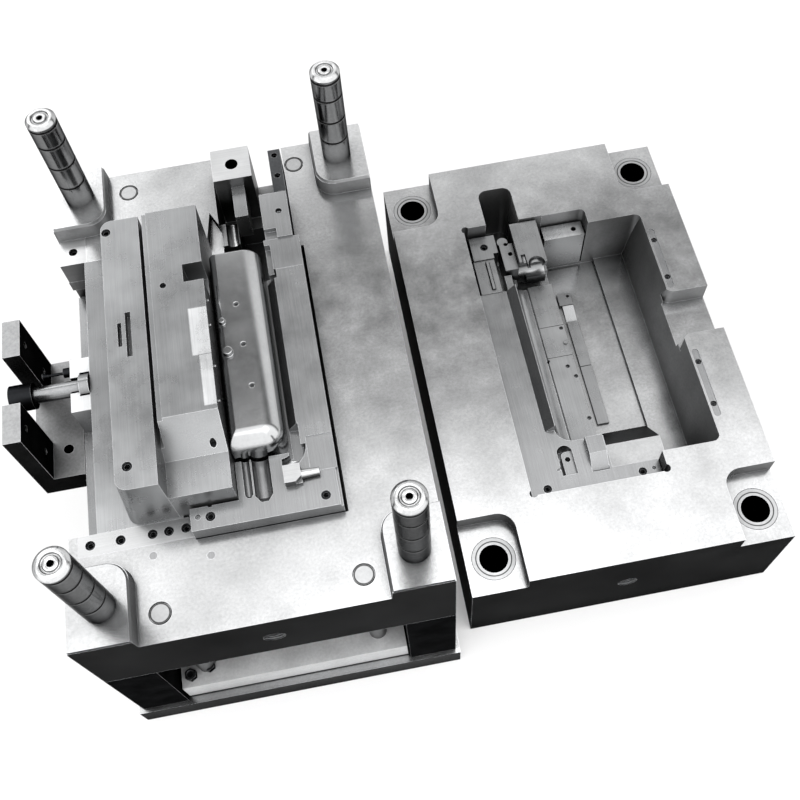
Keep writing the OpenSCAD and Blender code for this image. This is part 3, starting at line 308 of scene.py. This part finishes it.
@dataclass(frozen=True)
class SteelFinish:
    """One steel finish: colour, gloss, tool marks, handling stains, painted shade and highlights.

    Attributes:
        name: the material's name.
        colour: the colour of a clean level face.
        roughness: how matt a level face is.
        metallic: the share of metal in the gloss.
        side: the factor on the colour of upright faces, which paints shade on them.
        lay: the way in which the tool marks run.
        marks: how strong the tool marks are.
        clouds: how far the tone drifts over the surface.
        rim: the edges' colour: pale for worn metal and a painted highlight, dark for seams.
        edge: how much of that colour shows.
        edge_width: how wide the worn edges are, in metres.
        recess_shade: how much painted shade darkens the surface where it is shut in.
        soften: the radius over which edges are shaded round, in metres.
        sheen_off: the share of the grazing reflection that is taken away.
        near_highlight: the factor on the colour at the mould's near end, a painted highlight.
        matt_sides: the least roughness of upright faces.
    """

    name: str
    colour: Colour
    roughness: float = 0.32
    metallic: float = 1.0
    side: float = 0.45
    lay: Lay = Lay.SWIRLED
    marks: float = 0.25
    clouds: float = 0.12
    rim: Colour = (0.90, 0.91, 0.93)
    edge: float = 0.8
    edge_width: float = 0.0010
    recess_shade: float = 0.85
    soften: float = 0.0
    sheen_off: float = 0.5
    near_highlight: float = 1.0
    matt_sides: float = 0.0

    def build(self) -> bpy.types.Material:
        """Builds the node material of this finish.

        Returns:
            The material, with its pattern on Object coordinates.
        """
        material = bpy.data.materials.new(self.name)
        material.use_nodes = True
        sheet = NodeSheet(material.node_tree)
        place = sheet.add("ShaderNodeTexCoord").outputs["Object"]
        smudge = sheet.noise(place, SMUDGE, 4.0, 0.6)
        line = sheet.noise(place, self.lay.value, 3.0, 0.6)
        glance = 1.0 - self.sheen_off
        shader = sheet.shader
        shader.inputs["Metallic"].default_value = self.metallic
        shader.inputs["Specular Tint"].default_value = (glance, glance, glance, 1.0)
        body = sheet.scaled(self.colour, self.tone(sheet, place, smudge, line))
        # a pale rim paints a highlight over the worn edges; a dark rim draws the seams
        rim_share = sheet.product(sheet.edge_mask(self.edge_width), self.edge)
        sheet.link(sheet.mix(rim_share, body, self.rim), shader.inputs["Base Color"])
        sheet.link(self.gloss(sheet, smudge), shader.inputs["Roughness"])
        sheet.link(self.relief(sheet, line), shader.inputs["Normal"])
        return material

    def tone(self, sheet: NodeSheet, place: Socket, smudge: Socket, line: Socket) -> Socket:
        """Works out the colour's factor: stains, marks, painted shade and a painted highlight.

        Args:
            sheet: the material's tree.
            place: the Object coordinates.
            smudge: the smudges' noise.
            line: the tool marks' noise.

        Returns:
            The factor's socket.
        """
        cloud = sheet.noise(place, CLOUD, 3.0, 0.55)
        lines = self.marks / 3
        tone = sheet.product(
            sheet.ramp(cloud, CLOUD_LIMITS, (1.0 - self.clouds, 1.0 + self.clouds)),
            sheet.ramp(smudge, SMUDGE_LIMITS, (1.0 - self.clouds / 2, 1.0)),
            sheet.ramp(line, MARK_LIMITS, (1.0 - lines, 1.0 + lines)),
            # painted shade on upright faces
            self.facing(sheet),
            # painted shade where the surface is shut in
            sheet.ramp(sheet.open_sky(SHADE_REACH), OPEN_LIMITS, (1.0 - self.recess_shade, 1.0)))
        tone = self.extra(sheet, place, tone)
        # painted highlight on the near end, fading out along Y
        if self.near_highlight != 1.0:
            far = sheet.split(place)["Y"]
            tone = sheet.product(tone, sheet.ramp(far, NEAR_HIGHLIGHT_FADE, (self.near_highlight, 1.0)))
        return tone

    def gloss(self, sheet: NodeSheet, smudge: Socket) -> Socket:
        """Works out the roughness: smudged, and never below `matt_sides` on upright faces.

        Args:
            sheet: the material's tree.
            smudge: the smudges' noise.

        Returns:
            The roughness socket.
        """
        least, most = SMUDGE_GLOSS
        rough = sheet.ramp(
            smudge, GLOSS_LIMITS, (self.roughness * least, self.roughness * most))
        if self.matt_sides:
            milled = sheet.ramp(self.level(sheet), (0.0, 1.0), (self.matt_sides, 0.0))
            rough = sheet.maths("MAXIMUM", rough, milled)
        return rough

    def relief(self, sheet: NodeSheet, line: Socket) -> Socket:
        """Raises the tool marks on the surface's normal, over rounded edges where it has them.

        Args:
            sheet: the material's tree.
            line: the tool marks' noise.

        Returns:
            The normal's socket.
        """
        bump = sheet.add("ShaderNodeBump")
        bump.inputs["Strength"].default_value = MARK_STRENGTH * self.marks
        bump.inputs["Distance"].default_value = MARK_HEIGHT
        sheet.link(line, bump.inputs["Height"])
        if self.soften:
            sheet.link(sheet.rounded_normal(self.soften, FILLET_RAYS), bump.inputs["Normal"])
        return bump.outputs["Normal"]

    def level(self, sheet: NodeSheet) -> Socket:
        """Tells level faces, at 1, from upright and downward ones, at 0.

        Args:
            sheet: the material's tree.

        Returns:
            The socket of that share.
        """
        normal = sheet.add("ShaderNodeTexCoord").outputs["Normal"]
        return sheet.ramp(sheet.split(normal)["Z"], UPRIGHT_TO_LEVEL, (0.0, 1.0))

    def facing(self, sheet: NodeSheet) -> Socket:
        """Paints shade on upright faces: 1 on level faces and `side` on upright ones."""
        return sheet.ramp(self.level(sheet), (0.0, 1.0), (self.side, 1.0))

    def extra(self, sheet: NodeSheet, place: Socket, tone: Socket) -> Socket:
        """Returns the tone as it is; finishes with marks of their own change it."""
        return tone


@dataclass(frozen=True)
class BandedFinish(SteelFinish):
    """A turned pin's finish, darker in the grooves at the given heights.

    Attributes:
        bands: the grooves' heights, in metres.
        band_width: a groove's width, in metres.
        band_fade: how many half widths from its middle the dark ends.
        band_tone: the factor on the colour in a groove.
    """

    bands: tuple[float, ...] = ()
    band_width: float = 0.0030
    band_fade: float = 1.3
    band_tone: float = 0.08

    def extra(self, sheet: NodeSheet, place: Socket, tone: Socket) -> Socket:
        """Darkens the tone within half a band's width of each height.

        Args:
            sheet: the material's tree.
            place: the Object coordinates.
            tone: the factor on the colour so far.

        Returns:
            The darker factor.
        """
        half = self.band_width / 2
        height = sheet.split(place)["Z"]
        for band in self.bands:
            off = sheet.distance(height, band)
            tone = sheet.product(
                tone, sheet.ramp(off, (half, half * self.band_fade), (self.band_tone, 1.0)))
        return tone


@dataclass(frozen=True)
class RingedFinish(SteelFinish):
    """A finish with thin dark rings round four upright axes, for bushings and return pins.

    Attributes:
        centre: the middle between the four axes, in metres.
        pitch: how far the axes are from it along X and Y, in metres.
        seams: the rings' radii, in metres.
        seam_width: a ring's half width where it is darkest and where it ends, in metres.
        seam_tone: the factor on the colour in a ring.
    """

    centre: Span = (0.480, 0.035)
    pitch: Span = (0.185, 0.302)
    seams: tuple[float, ...] = (0.0245, 0.0307)
    seam_width: Span = (0.0005, 0.0011)
    seam_tone: float = 0.1

    def extra(self, sheet: NodeSheet, place: Socket, tone: Socket) -> Socket:
        """Darkens thin rings round the nearest axis.

        The radius is the length of (| |x - centre| - pitch |, | |y - centre| - pitch |).

        Args:
            sheet: the material's tree.
            place: the Object coordinates.
            tone: the factor on the colour so far.

        Returns:
            The darker factor.
        """
        spot = sheet.split(place)
        legs = []
        for axis, centre, pitch in zip("XY", self.centre, self.pitch):
            side = sheet.distance(spot[axis], centre)
            legs.append(sheet.maths("POWER", sheet.maths("SUBTRACT", side, pitch), 2.0))
        radius = sheet.maths("SQRT", sheet.maths("ADD", *legs))
        for seam in self.seams:
            off = sheet.distance(radius, seam)
            tone = sheet.product(
                tone, sheet.ramp(off, self.seam_width, (self.seam_tone, 1.0)))
        return tone


@dataclass(frozen=True)
class PlateFinish(SteelFinish):
    """A plate's finish, with more painted shade on its outer upright faces than on walls inside.

    Attributes:
        outline: the lowest and highest X and Y of what counts as inside, in metres.
        inner_wall_shade: the factor on the colour of upright walls inside, as painted shade.
    """

    outline: tuple[Span, Span] = ((0.0, 0.0), (0.0, 0.0))
    inner_wall_shade: float = 0.5

    def facing(self, sheet: NodeSheet) -> Socket:
        """Paints more shade on the plate's outer upright faces than on its walls inside.

        Args:
            sheet: the material's tree.

        Returns:
            The factor's socket: 1 on level faces, `inner_wall_shade` inside, `side` outside.
        """
        spot = sheet.split(sheet.add("ShaderNodeTexCoord").outputs["Object"])
        inside: Socket | float = 1.0
        for axis, low, high in zip("XY", *self.outline):
            above = sheet.maths("GREATER_THAN", spot[axis], low)
            below = sheet.maths("LESS_THAN", spot[axis], high)
            inside = sheet.product(inside, above, below)
        upright = sheet.ramp(inside, (0.0, 1.0), (self.side, self.inner_wall_shade))
        level = self.level(sheet)
        kept = sheet.product(upright, sheet.maths("SUBTRACT", 1.0, level))
        return sheet.maths("ADD", level, kept)


# Upright faces and shut-in places get painted shade in these finishes,
# and the slider's near end gets a painted highlight.
class Steel(Enum):
    """The finishes of the mould's pieces."""

    PLATE = SteelFinish(
        "clamp_plate_steel", (0.62, 0.625, 0.63), 0.21, side=0.12, clouds=0.24,
        sheen_off=1.0, matt_sides=0.6)
    CORE_PLATE = PlateFinish(
        "core_plate_steel", (0.62, 0.625, 0.63), 0.21, side=0.09, clouds=0.24,
        sheen_off=0.95, matt_sides=0.5, outline=((-0.2240, -0.3490), (0.2240, 0.3490)))
    CAVITY_PLATE = PlateFinish(
        "cavity_plate_steel", (0.62, 0.625, 0.63), 0.21, side=0.08, clouds=0.24, recess_shade=0.6,
        sheen_off=0.95, matt_sides=0.5, outline=((0.2560, -0.3140), (0.7040, 0.3840)))
    FRAME = SteelFinish(
        "dark_frame_steel", (0.09, 0.093, 0.097), 0.45, side=0.25, clouds=0.2, marks=0.4,
        edge=0.4, sheen_off=0.9)
    BOXED = SteelFinish(
        "ejector_plate_steel", (0.64, 0.645, 0.65), 0.45, metallic=0.7, side=0.9, recess_shade=0.15)
    INSERT = SteelFinish(
        "ground_insert_steel", (0.38, 0.385, 0.39), 0.24, metallic=0.92, side=0.7,
        lay=Lay.ALONG_Y, recess_shade=0.25)
    PALE = SteelFinish(
        "pale_insert_steel", (0.66, 0.665, 0.67), 0.30, side=0.3, lay=Lay.ALONG_X)
    BRIGHT = SteelFinish(
        "bright_insert_steel", (0.88, 0.89, 0.90), 0.28, side=0.4, lay=Lay.ALONG_Y,
        rim=(0.1, 0.1, 0.1), edge_width=0.0007)
    SEAMED = SteelFinish(
        "seamed_strip_steel", (0.38, 0.385, 0.39), 0.28, side=0.45, lay=Lay.ALONG_Y,
        rim=(0.03, 0.03, 0.03), edge_width=0.0007, recess_shade=0.6)
    SLIDER = SteelFinish(
        "milled_slider_steel", (0.33, 0.335, 0.34), 0.28, metallic=0.94, side=0.75,
        lay=Lay.ALONG_Y, clouds=0.2, recess_shade=0.3, near_highlight=1.45)
    POLISHED = SteelFinish(
        "polished_core_steel", (0.46, 0.465, 0.47), 0.18, side=1.0, marks=0.10, edge=0.0,
        recess_shade=0.35, soften=0.0022)
    TURNED = SteelFinish("turned_pin_steel", (0.30, 0.305, 0.31), 0.22, side=0.6)
    BANDED = BandedFinish(
        "banded_pin_steel", (0.70, 0.705, 0.71), 0.15, side=0.3, edge=0.0, sheen_off=0.8,
        bands=(0.415, 0.455, 0.495, 0.526), soften=0.004)
    RETURN = RingedFinish(
        "return_pin_steel", (0.52, 0.525, 0.53), 0.30, side=0.6, edge=0.0,
        centre=(0.0, 0.0), pitch=(0.121, 0.315), seams=(0.0115,))
    BUSH = RingedFinish(
        "ground_bushing_steel", (0.50, 0.505, 0.51), 0.30, side=0.05, sheen_off=1.0)
    BLACK = SteelFinish(
        "black_oxide_screw", (0.02, 0.021, 0.023), 0.42, edge=0.2, sheen_off=1.0)
    BRACKET = SteelFinish(
        "dark_bracket_steel", (0.38, 0.383, 0.387), 0.40, side=0.07, marks=0.4,
        sheen_off=0.9)


class Dresser:
    """Puts finishes on pieces, each finish built once."""

    def __init__(self) -> None:
        """Starts with no finish built."""
        self.built: dict[Steel, bpy.types.Material] = {}

    def finish(self, steel: Steel) -> bpy.types.Material:
        """Gives the material of a finish, built at its first use.

        Args:
            steel: the finish.

        Returns:
            Its material.
        """
        if steel not in self.built:
            self.built[steel] = steel.value.build()
        return self.built[steel]

    def dress(self, steel: Steel, *names: str) -> None:
        """Puts one finish on the named CAD nodes.

        Args:
            steel: the finish.
            names: the nodes.
        """
        for name in names:
            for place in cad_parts[name].material_slots:
                place.material = self.finish(steel)
            log.info("%s wears %s", name, steel.value.name)


def add_mesh(
    name: str, points: np.ndarray, faces: np.ndarray, smooth: bool = True
) -> bpy.types.Object:
    """Makes an object at the origin from arrays of points and quads.

    Points that fall together, at poles and at closing seams, are merged.

    Args:
        name: the piece's name.
        points: one row per point, in metres.
        faces: one row of four point numbers per face.
        smooth: whether the shading runs smoothly over the faces.

    Returns:
        The new object.
    """
    count, corners = faces.shape
    mesh = bpy.data.meshes.new(name)
    mesh.vertices.add(len(points))
    mesh.vertices.foreach_set("co", np.asarray(points, np.float32).ravel())
    mesh.loops.add(faces.size)
    mesh.loops.foreach_set("vertex_index", faces.astype(np.int32).ravel())
    mesh.polygons.add(count)
    starts = np.arange(0, faces.size, corners, dtype=np.int32)
    mesh.polygons.foreach_set("loop_start", starts)
    mesh.polygons.foreach_set("use_smooth", np.full(count, smooth))
    mesh.update(calc_edges=True)
    join = bmesh.new()
    join.from_mesh(mesh)
    bmesh.ops.remove_doubles(join, verts=join.verts[:], dist=MERGE)
    join.to_mesh(mesh)
    join.free()
    mesh.validate()
    piece = bpy.data.objects.new(name, mesh)
    bpy.context.scene.collection.objects.link(piece)
    return piece


def grid_faces(rows: int, columns: int, wrap_columns: bool) -> np.ndarray:
    """Numbers the quads of a grid of points stored row by row.

    Args:
        rows: the number of rows.
        columns: the number of points in a row.
        wrap_columns: whether the last column joins the first.

    Returns:
        One row of four point numbers per quad.
    """
    across = columns if wrap_columns else columns - 1
    row, column = np.meshgrid(np.arange(rows - 1), np.arange(across), indexing="ij")
    right = (column + 1) % columns
    near, far = row * columns, (row + 1) * columns
    quads = np.stack([near + column, near + right, far + right, far + column], axis=-1)
    return quads.reshape(-1, quads.shape[-1])


@dataclass
class LiftingThread:
    """The helical thread inside a lifting hole that runs along +Y from a near face.

    Attributes:
        name: the piece's name.
        body: the body that it rides on.
        mouth: the middle of the hole's mouth, in metres.
        radius: the radius of the thread's roots; the hole's own wall is just outside it.
        pitch: the thread's pitch.
        depth: how deep the thread runs.
        start: how far inside the mouth it begins.
        height: how far its crests stand in from the roots.
        wall: how far behind the roots the sleeve is closed.
        sides: the points round one turn.
        rows: the rows of points in one pitch.
    """

    name: str
    body: str
    mouth: Point
    radius: float = 0.0134
    pitch: float = 0.0035
    depth: float = 0.040
    start: float = 0.0015
    height: float = 0.0019
    wall: float = 0.00005
    sides: int = 64
    rows: int = 8

    def build(self, shop: Dresser) -> None:
        """Makes the thread.

        The surface is a sleeve whose radius falls from the roots by the thread's height times
        a triangle wave of (distance along the axis / pitch - angle / one turn). A plain round
        wall behind it closes the sleeve.

        Args:
            shop: where the finish comes from.
        """
        turn = np.linspace(0.0, 2 * math.pi, self.sides, endpoint=False)
        along = np.linspace(self.start, self.depth, int(self.depth / self.pitch * self.rows))
        depth, angle = np.meshgrid(along, turn, indexing="ij")
        phase = np.mod(depth / self.pitch - angle / (2 * math.pi), 1.0)
        tooth = 1.0 - np.abs(2.0 * phase - 1.0)
        radius = self.radius - self.height * tooth
        back = np.full((2, self.sides), self.radius + self.wall)
        ends = np.repeat([[along[-1]], [along[0]]], self.sides, axis=1)
        radius = np.concatenate([radius, back, radius[:1]])
        depth = np.concatenate([depth, ends, depth[:1]])
        points = np.stack(
            [self.mouth[0] + radius * np.cos(turn), self.mouth[1] + depth,
             self.mouth[2] + radius * np.sin(turn)], axis=-1)
        faces = grid_faces(len(points), self.sides, True)
        piece = add_mesh(self.name, points.reshape(-1, 3), faces)
        piece.data.materials.append(shop.finish(Steel.FRAME))
        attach(piece, self.body)
        log.info("%s made", self.name)


@dataclass
class HexBolt:
    """A hexagon head that stands on the ejector plates, seen through the near gap.

    Attributes:
        name: the piece's name.
        foot: the middle of the head's underside, in metres.
        flat: half the width over flats.
        height: the head's height.
        chamfer: how far down the turned chamfer reaches.
        bulge: how far in and up the chamfer's middle row lies, as shares of `chamfer`.
        hollow: the rows that close the top, each as a share of `flat` and a depth.
        sides: the points round one turn.
    """

    name: str
    foot: Point
    flat: float = 0.0075
    height: float = 0.0100
    chamfer: float = 0.0012
    bulge: Span = (0.4, 0.5)
    hollow: tuple[Span, ...] = ((0.99, 0.0), (0.70, 0.0), (0.62, 0.0006), (0.0, 0.0009))
    sides: int = 96

    def build(self, shop: Dresser) -> None:
        """Makes the head as one closed surface.

        At each level the radius is the smaller of the level's own circle and the hexagon's
        reach, which is half the width over flats divided by the cosine of the angle to the
        middle of the nearest flat. The circle shrinks towards the top edge, as a turned
        chamfer does, and the last rows close the top with a shallow round hollow.

        Args:
            shop: where the finish comes from.
        """
        turn = np.linspace(0.0, 2 * math.pi, self.sides, endpoint=False)
        sixth = math.pi / 3
        reach = self.flat / np.cos(np.mod(turn + sixth / 2, sixth) - sixth / 2)
        corner = self.flat / math.cos(sixth / 2)
        inward, upward = self.bulge
        levels = [(0.0, 0.0), (corner, 0.0), (corner, self.height - self.chamfer),
                  (corner - inward * self.chamfer, self.height - upward * self.chamfer)]
        levels += [(self.flat * share, self.height - depth) for share, depth in self.hollow]
        circle, rise = np.array(levels).T[..., np.newaxis]
        radius = np.minimum(reach, circle)
        points = np.stack(
            [self.foot[0] + radius * np.cos(turn), self.foot[1] + radius * np.sin(turn),
             np.broadcast_to(self.foot[2] + rise, radius.shape)], axis=-1)
        faces = grid_faces(len(levels), self.sides, True)
        piece = add_mesh(self.name, points.reshape(-1, 3), faces, smooth=False)
        piece.data.materials.append(shop.finish(Steel.BLACK))
        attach(piece, "ejector_assembly")
        log.info("%s made", self.name)


@dataclass
class CoreHalf:
    """The core half: its plates, pins, inserts and bracket."""

    near_face: float = -0.350
    thread_height: float = 0.285
    dark: tuple[str, ...] = (
        "spacer_block_left", "spacer_block_right", "support_pillars", "end_guide_rail")
    inserts: tuple[str, ...] = (
        "core_insert", "insert_block_a", "insert_block_b", "slider_wear_plate", "flush_plugs")
    pale: tuple[str, ...] = ("runner_pin_block", "near_gib_rail", "far_gib_block")
    black: tuple[str, ...] = (
        "frame_screws", "core_insert_screws", "gib_screws", "wear_plate_screws",
        "end_rail_screws", "bracket_screws", "stop_buttons")

    def dress(self, shop: Dresser) -> None:
        """Puts the finishes on this half's nodes.

        Args:
            shop: where the finishes come from.
        """
        shop.dress(Steel.CORE_PLATE, "core_plate")
        shop.dress(Steel.PLATE, "bottom_clamp_plate")
        shop.dress(Steel.FRAME, *self.dark)
        shop.dress(Steel.INSERT, *self.inserts)
        shop.dress(Steel.PALE, *self.pale)
        shop.dress(Steel.POLISHED, "core_bar")
        shop.dress(Steel.BANDED, "guide_pins")
        shop.dress(Steel.BRACKET, "hydraulic_bracket")
        shop.dress(Steel.BLACK, *self.black)

    def build(self, shop: Dresser) -> None:
        """Builds the thread in the core plate's lifting hole."""
        mouth = (0.0, self.near_face, self.thread_height)
        LiftingThread("core_lifting_thread", "core_half", mouth).build(shop)


@dataclass
class SideSlider:
    """The large side slider with its rod."""

    blocks: tuple[str, ...] = ("slider_foot", "slider_heel_plate", "slider_nose_block")
    bright: tuple[str, ...] = ("slider_nose_strips", "slider_core_pins", "rod_coupling")
    black: tuple[str, ...] = ("slider_screws", "coupling_screws", "rod_end_nut", "trip_screw")

    def dress(self, shop: Dresser) -> None:
        """Puts the finishes on the slider's nodes.

        Args:
            shop: where the finishes come from.
        """
        shop.dress(Steel.SLIDER, *self.blocks)
        shop.dress(Steel.BRIGHT, *self.bright)
        shop.dress(Steel.TURNED, "piston_rod")
        shop.dress(Steel.BLACK, *self.black)


@dataclass
class EndSlider:
    """The small slider at the far end."""

    def dress(self, shop: Dresser) -> None:
        """Puts the finishes on the end slider's nodes.

        Args:
            shop: where the finishes come from.
        """
        shop.dress(Steel.PALE, "end_slider_carriage")
        shop.dress(Steel.SLIDER, "end_slider_arm")
        shop.dress(Steel.BLACK, "arm_screw")


@dataclass
class EjectorSet:
    """The ejector plates with their pins.

    Attributes:
        bolts: each bolt head's name and its distances from the plates' left side and near end.
        seat_gap: how far a head stands off the plate, in metres.
    """

    bolts: tuple[tuple[str, float, float], ...] = (
        ("ejector_bolt_a", 0.014, 0.016), ("ejector_bolt_b", 0.040, 0.024))
    seat_gap: float = 0.0001

    def dress(self, shop: Dresser) -> None:
        """Puts the finishes on the ejector set's nodes.

        Args:
            shop: where the finishes come from.
        """
        shop.dress(Steel.BOXED, "ejector_base_plate", "ejector_retainer_plate")
        shop.dress(Steel.RETURN, "return_pins")
        shop.dress(Steel.TURNED, "ejector_pins")
        shop.dress(Steel.BLACK, "ejector_plate_screws")

    def build(self, shop: Dresser) -> None:
        """Builds the two bolt heads near the left end of the plates.

        Args:
            shop: where the finish comes from.
        """
        low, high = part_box("ejector_retainer_plate")
        for name, right, far in self.bolts:
            foot = (low[0] + right, low[1] + far, high[2] + self.seat_gap)
            HexBolt(name, foot).build(shop)


@dataclass
class CavityHalf:
    """The cavity half, lying on its back beside the core half."""

    near_face: float = -0.315
    centre_x: float = 0.480
    thread_height: float = 0.095
    inserts: tuple[str, ...] = ("cavity_insert", "locking_wear_plates", "near_block")
    seamed: tuple[str, ...] = (
        "cavity_strips", "pocket_strips", "corner_block", "side_block", "gate_block",
        "gate_side_block")
    black: tuple[str, ...] = ("wear_plate_bolts", "cavity_insert_screws", "locating_ring_screws")

    def dress(self, shop: Dresser) -> None:
        """Puts the finishes on this half's nodes.

        Args:
            shop: where the finishes come from.
        """
        shop.dress(Steel.CAVITY_PLATE, "cavity_plate")
        shop.dress(Steel.INSERT, *self.inserts)
        shop.dress(Steel.SEAMED, *self.seamed)
        shop.dress(Steel.BRIGHT, "shelf_block")
        shop.dress(Steel.BUSH, "guide_bushings")
        shop.dress(Steel.TURNED, "sprue_bushing", "locating_ring")
        shop.dress(Steel.BLACK, *self.black)

    def build(self, shop: Dresser) -> None:
        """Builds the thread in the cavity plate's lifting hole."""
        mouth = (self.centre_x, self.near_face, self.thread_height)
        LiftingThread("cavity_lifting_thread", "cavity_half", mouth).build(shop)


@dataclass(frozen=True)
class SoftLamp:
    """A square soft lamp.

    Attributes:
        name: the lamp's name.
        place: where it stands, in metres.
        aim: the point that it faces.
        size: the side of its square.
        watts: its power.
    """

    name: str
    place: Point
    aim: Point
    size: float
    watts: float

    def build(self) -> None:
        """Builds the lamp and turns its -Z axis from its place to its aim."""
        lamp = bpy.data.lights.new(self.name, "AREA")
        lamp.shape = "SQUARE"
        lamp.size = self.size
        lamp.energy = self.watts
        holder = bpy.data.objects.new(self.name, lamp)
        bpy.context.scene.collection.objects.link(holder)
        holder.location = self.place
        away = np.array(self.place) - np.array(self.aim)
        flat = math.hypot(away[0], away[1])
        holder.rotation_euler = (
            math.atan2(flat, away[2]), 0.0, math.atan2(away[0], -away[1]))


@dataclass
class Studio:
    """The pale floor, the surroundings and the soft lamps.

    Attributes:
        floor_size: the side of the floor's square, in metres.
        floor_level: the floor's height, just below the mould's underside.
        floor_points: the points along each side of the floor's grid.
        floor_colour: the floor's colour under the lamps.
        floor_rough: the floor's roughness.
        floor_white: the share of plain white in what shows of the floor.
        shadow_reach: how near a piece dims that white, as a painted contact shadow, in metres.
        band_tilt: how far the dim band leans from the zenith towards +Y, in degrees.
        dim: the strength of the band.
        near_edge: where the strength falls to the band's, as distances from it.
        near_level: the strength added overhead and on the near side.
        far_edge: where the strength rises beyond the band, as distances from it.
        far_level: the strength added on the far side.
        lamps: the lamps.
    """

    floor_size: float = 30.0
    floor_level: float = -0.0005
    floor_points: int = 3
    floor_colour: Colour = (0.86, 0.86, 0.86)
    floor_rough: float = 0.9
    floor_white: float = 0.66
    shadow_reach: float = 0.05
    band_tilt: float = 32.0
    dim: float = 0.10
    near_edge: Span = (-0.22, -0.03)
    near_level: float = 1.8
    far_edge: Span = (0.05, 0.13)
    far_level: float = 1.15
    lamps: tuple[SoftLamp, ...] = (
        SoftLamp("lamp_far_left", (-1.6, 2.2, 2.6), (0.1, 0.0, 0.2), 1.6, 12.0),
        SoftLamp("lamp_overhead", (0.6, -0.4, 3.4), (0.2, 0.0, 0.2), 2.0, 14.0),
        SoftLamp("lamp_near_left", (-2.4, -1.8, 1.8), (0.0, 0.0, 0.2), 1.2, 8.0))

    def build(self) -> None:
        """Builds the floor, the surroundings and the lamps."""
        self.build_floor()
        self.build_world()
        for lamp in self.lamps:
            lamp.build()

    def build_floor(self) -> None:
        """Builds the floor as a flat square of two quads by two.

        Its material mixes plain white over a matt shader by the share from seen_share.
        """
        half = self.floor_size / 2
        reach = np.linspace(-half, half, self.floor_points)
        east, north = np.meshgrid(reach, reach, indexing="ij")
        points = np.stack([east, north, np.full_like(east, self.floor_level)], axis=-1)
        faces = grid_faces(self.floor_points, self.floor_points, False)
        floor = add_mesh("studio_floor", points.reshape(-1, 3), faces)
        material = bpy.data.materials.new("pale_floor")
        material.use_nodes = True
        sheet = NodeSheet(material.node_tree)
        sheet.shader.inputs["Base Color"].default_value = (*self.floor_colour, 1.0)
        sheet.shader.inputs["Roughness"].default_value = self.floor_rough
        white = sheet.add("ShaderNodeEmission")
        white.inputs["Color"].default_value = (1.0, 1.0, 1.0, 1.0)
        white.inputs["Strength"].default_value = 1.0
        mix = sheet.add("ShaderNodeMixShader")
        sheet.link(self.seen_share(sheet), mix.inputs["Fac"])
        sheet.link(sheet.shader.outputs["BSDF"], mix.inputs[1])
        sheet.link(white.outputs["Emission"], mix.inputs[2])
        surface = sheet.tree.nodes["Material Output"].inputs["Surface"]
        sheet.link(mix.outputs["Shader"], surface)
        floor.data.materials.append(material)

    def seen_share(self, sheet: NodeSheet) -> Socket:
        """Marks the rays that show the floor, straight or in metal and glass.

        Such rays give `floor_white`, with a painted contact shadow near pieces; others give 0.

        Args:
            sheet: the floor's tree.

        Returns:
            The socket of that share.
        """
        path = sheet.add("ShaderNodeLightPath")
        seen = path.outputs["Is Camera Ray"]
        for kind in ("Is Glossy Ray", "Is Transmission Ray"):
            seen = sheet.maths("MAXIMUM", seen, path.outputs[kind])
        # the open-sky factor paints a contact shadow near pieces
        return sheet.product(seen, sheet.open_sky(self.shadow_reach), self.floor_white)

    def build_world(self) -> None:
        """Builds surroundings that are bright overhead and far off, with a dim band between.

        The band is a great circle that leans away from the zenith towards +Y. A direction's
        distance from it is the dot product with the circle's pole, below 0 on the near side.
        The strength rises along a straight ramp on either side of the band.
        """
        world = bpy.data.worlds.new("studio")
        bpy.context.scene.world = world
        world.use_nodes = True
        world.node_tree.nodes.clear()
        sheet = NodeSheet(world.node_tree)
        off = sheet.add("ShaderNodeVectorMath")
        off.operation = "DOT_PRODUCT"
        sheet.link(sheet.add("ShaderNodeTexCoord").outputs["Generated"], off.inputs[0])
        tilt = math.radians(self.band_tilt)
        off.inputs[1].default_value = (0.0, math.cos(tilt), -math.sin(tilt))
        near = sheet.ramp(off.outputs["Value"], self.near_edge, (self.near_level, 0.0))
        far = sheet.ramp(off.outputs["Value"], self.far_edge, (0.0, self.far_level))
        level = sheet.maths("ADD", sheet.maths("ADD", self.dim, near), far)
        light = sheet.add("ShaderNodeBackground")
        light.inputs["Color"].default_value = (1.0, 1.0, 1.0, 1.0)
        sheet.link(level, light.inputs["Strength"])
        out = sheet.add("ShaderNodeOutputWorld")
        sheet.link(light.outputs["Background"], out.inputs["Surface"])


@dataclass
class PhotoCamera:
    """The camera at the photograph's viewing angle, fitted to the plates' corners and pins.

    Attributes:
        eye: where it stands, in metres.
        angles: how it is turned about X, Y and Z, in degrees.
        lens: its focal length, in millimetres.
        sensor: its sensor's width, in millimetres.
    """

    eye: Point = (0.1492, -0.6925, 1.5142)
    angles: Point = (27.102, 2.596, -10.318)
    lens: float = 46.04
    sensor: float = 36.0

    def build(self) -> None:
        """Builds the camera and makes it the scene's own."""
        data = bpy.data.cameras.new("photo_camera")
        data.lens = self.lens
        data.sensor_width = self.sensor
        data.dof.use_dof = False
        camera = bpy.data.objects.new("photo_camera", data)
        bpy.context.scene.collection.objects.link(camera)
        camera.location = self.eye
        camera.rotation_euler = tuple(math.radians(angle) for angle in self.angles)
        bpy.context.scene.camera = camera


def main() -> None:
    """Builds and dresses every sub-assembly, then the studio and the camera."""
    logging.basicConfig(level=logging.INFO, format="%(name)s: %(message)s")
    bpy.context.scene.view_settings.view_transform = "Standard"
    shop = Dresser()
    for half in (CoreHalf(), EjectorSet(), CavityHalf()):
        half.dress(shop)
        half.build(shop)
    for group in (SideSlider(), EndSlider()):
        group.dress(shop)
    Studio().build()
    PhotoCamera().build()


if __name__ == "__main__":
    main()
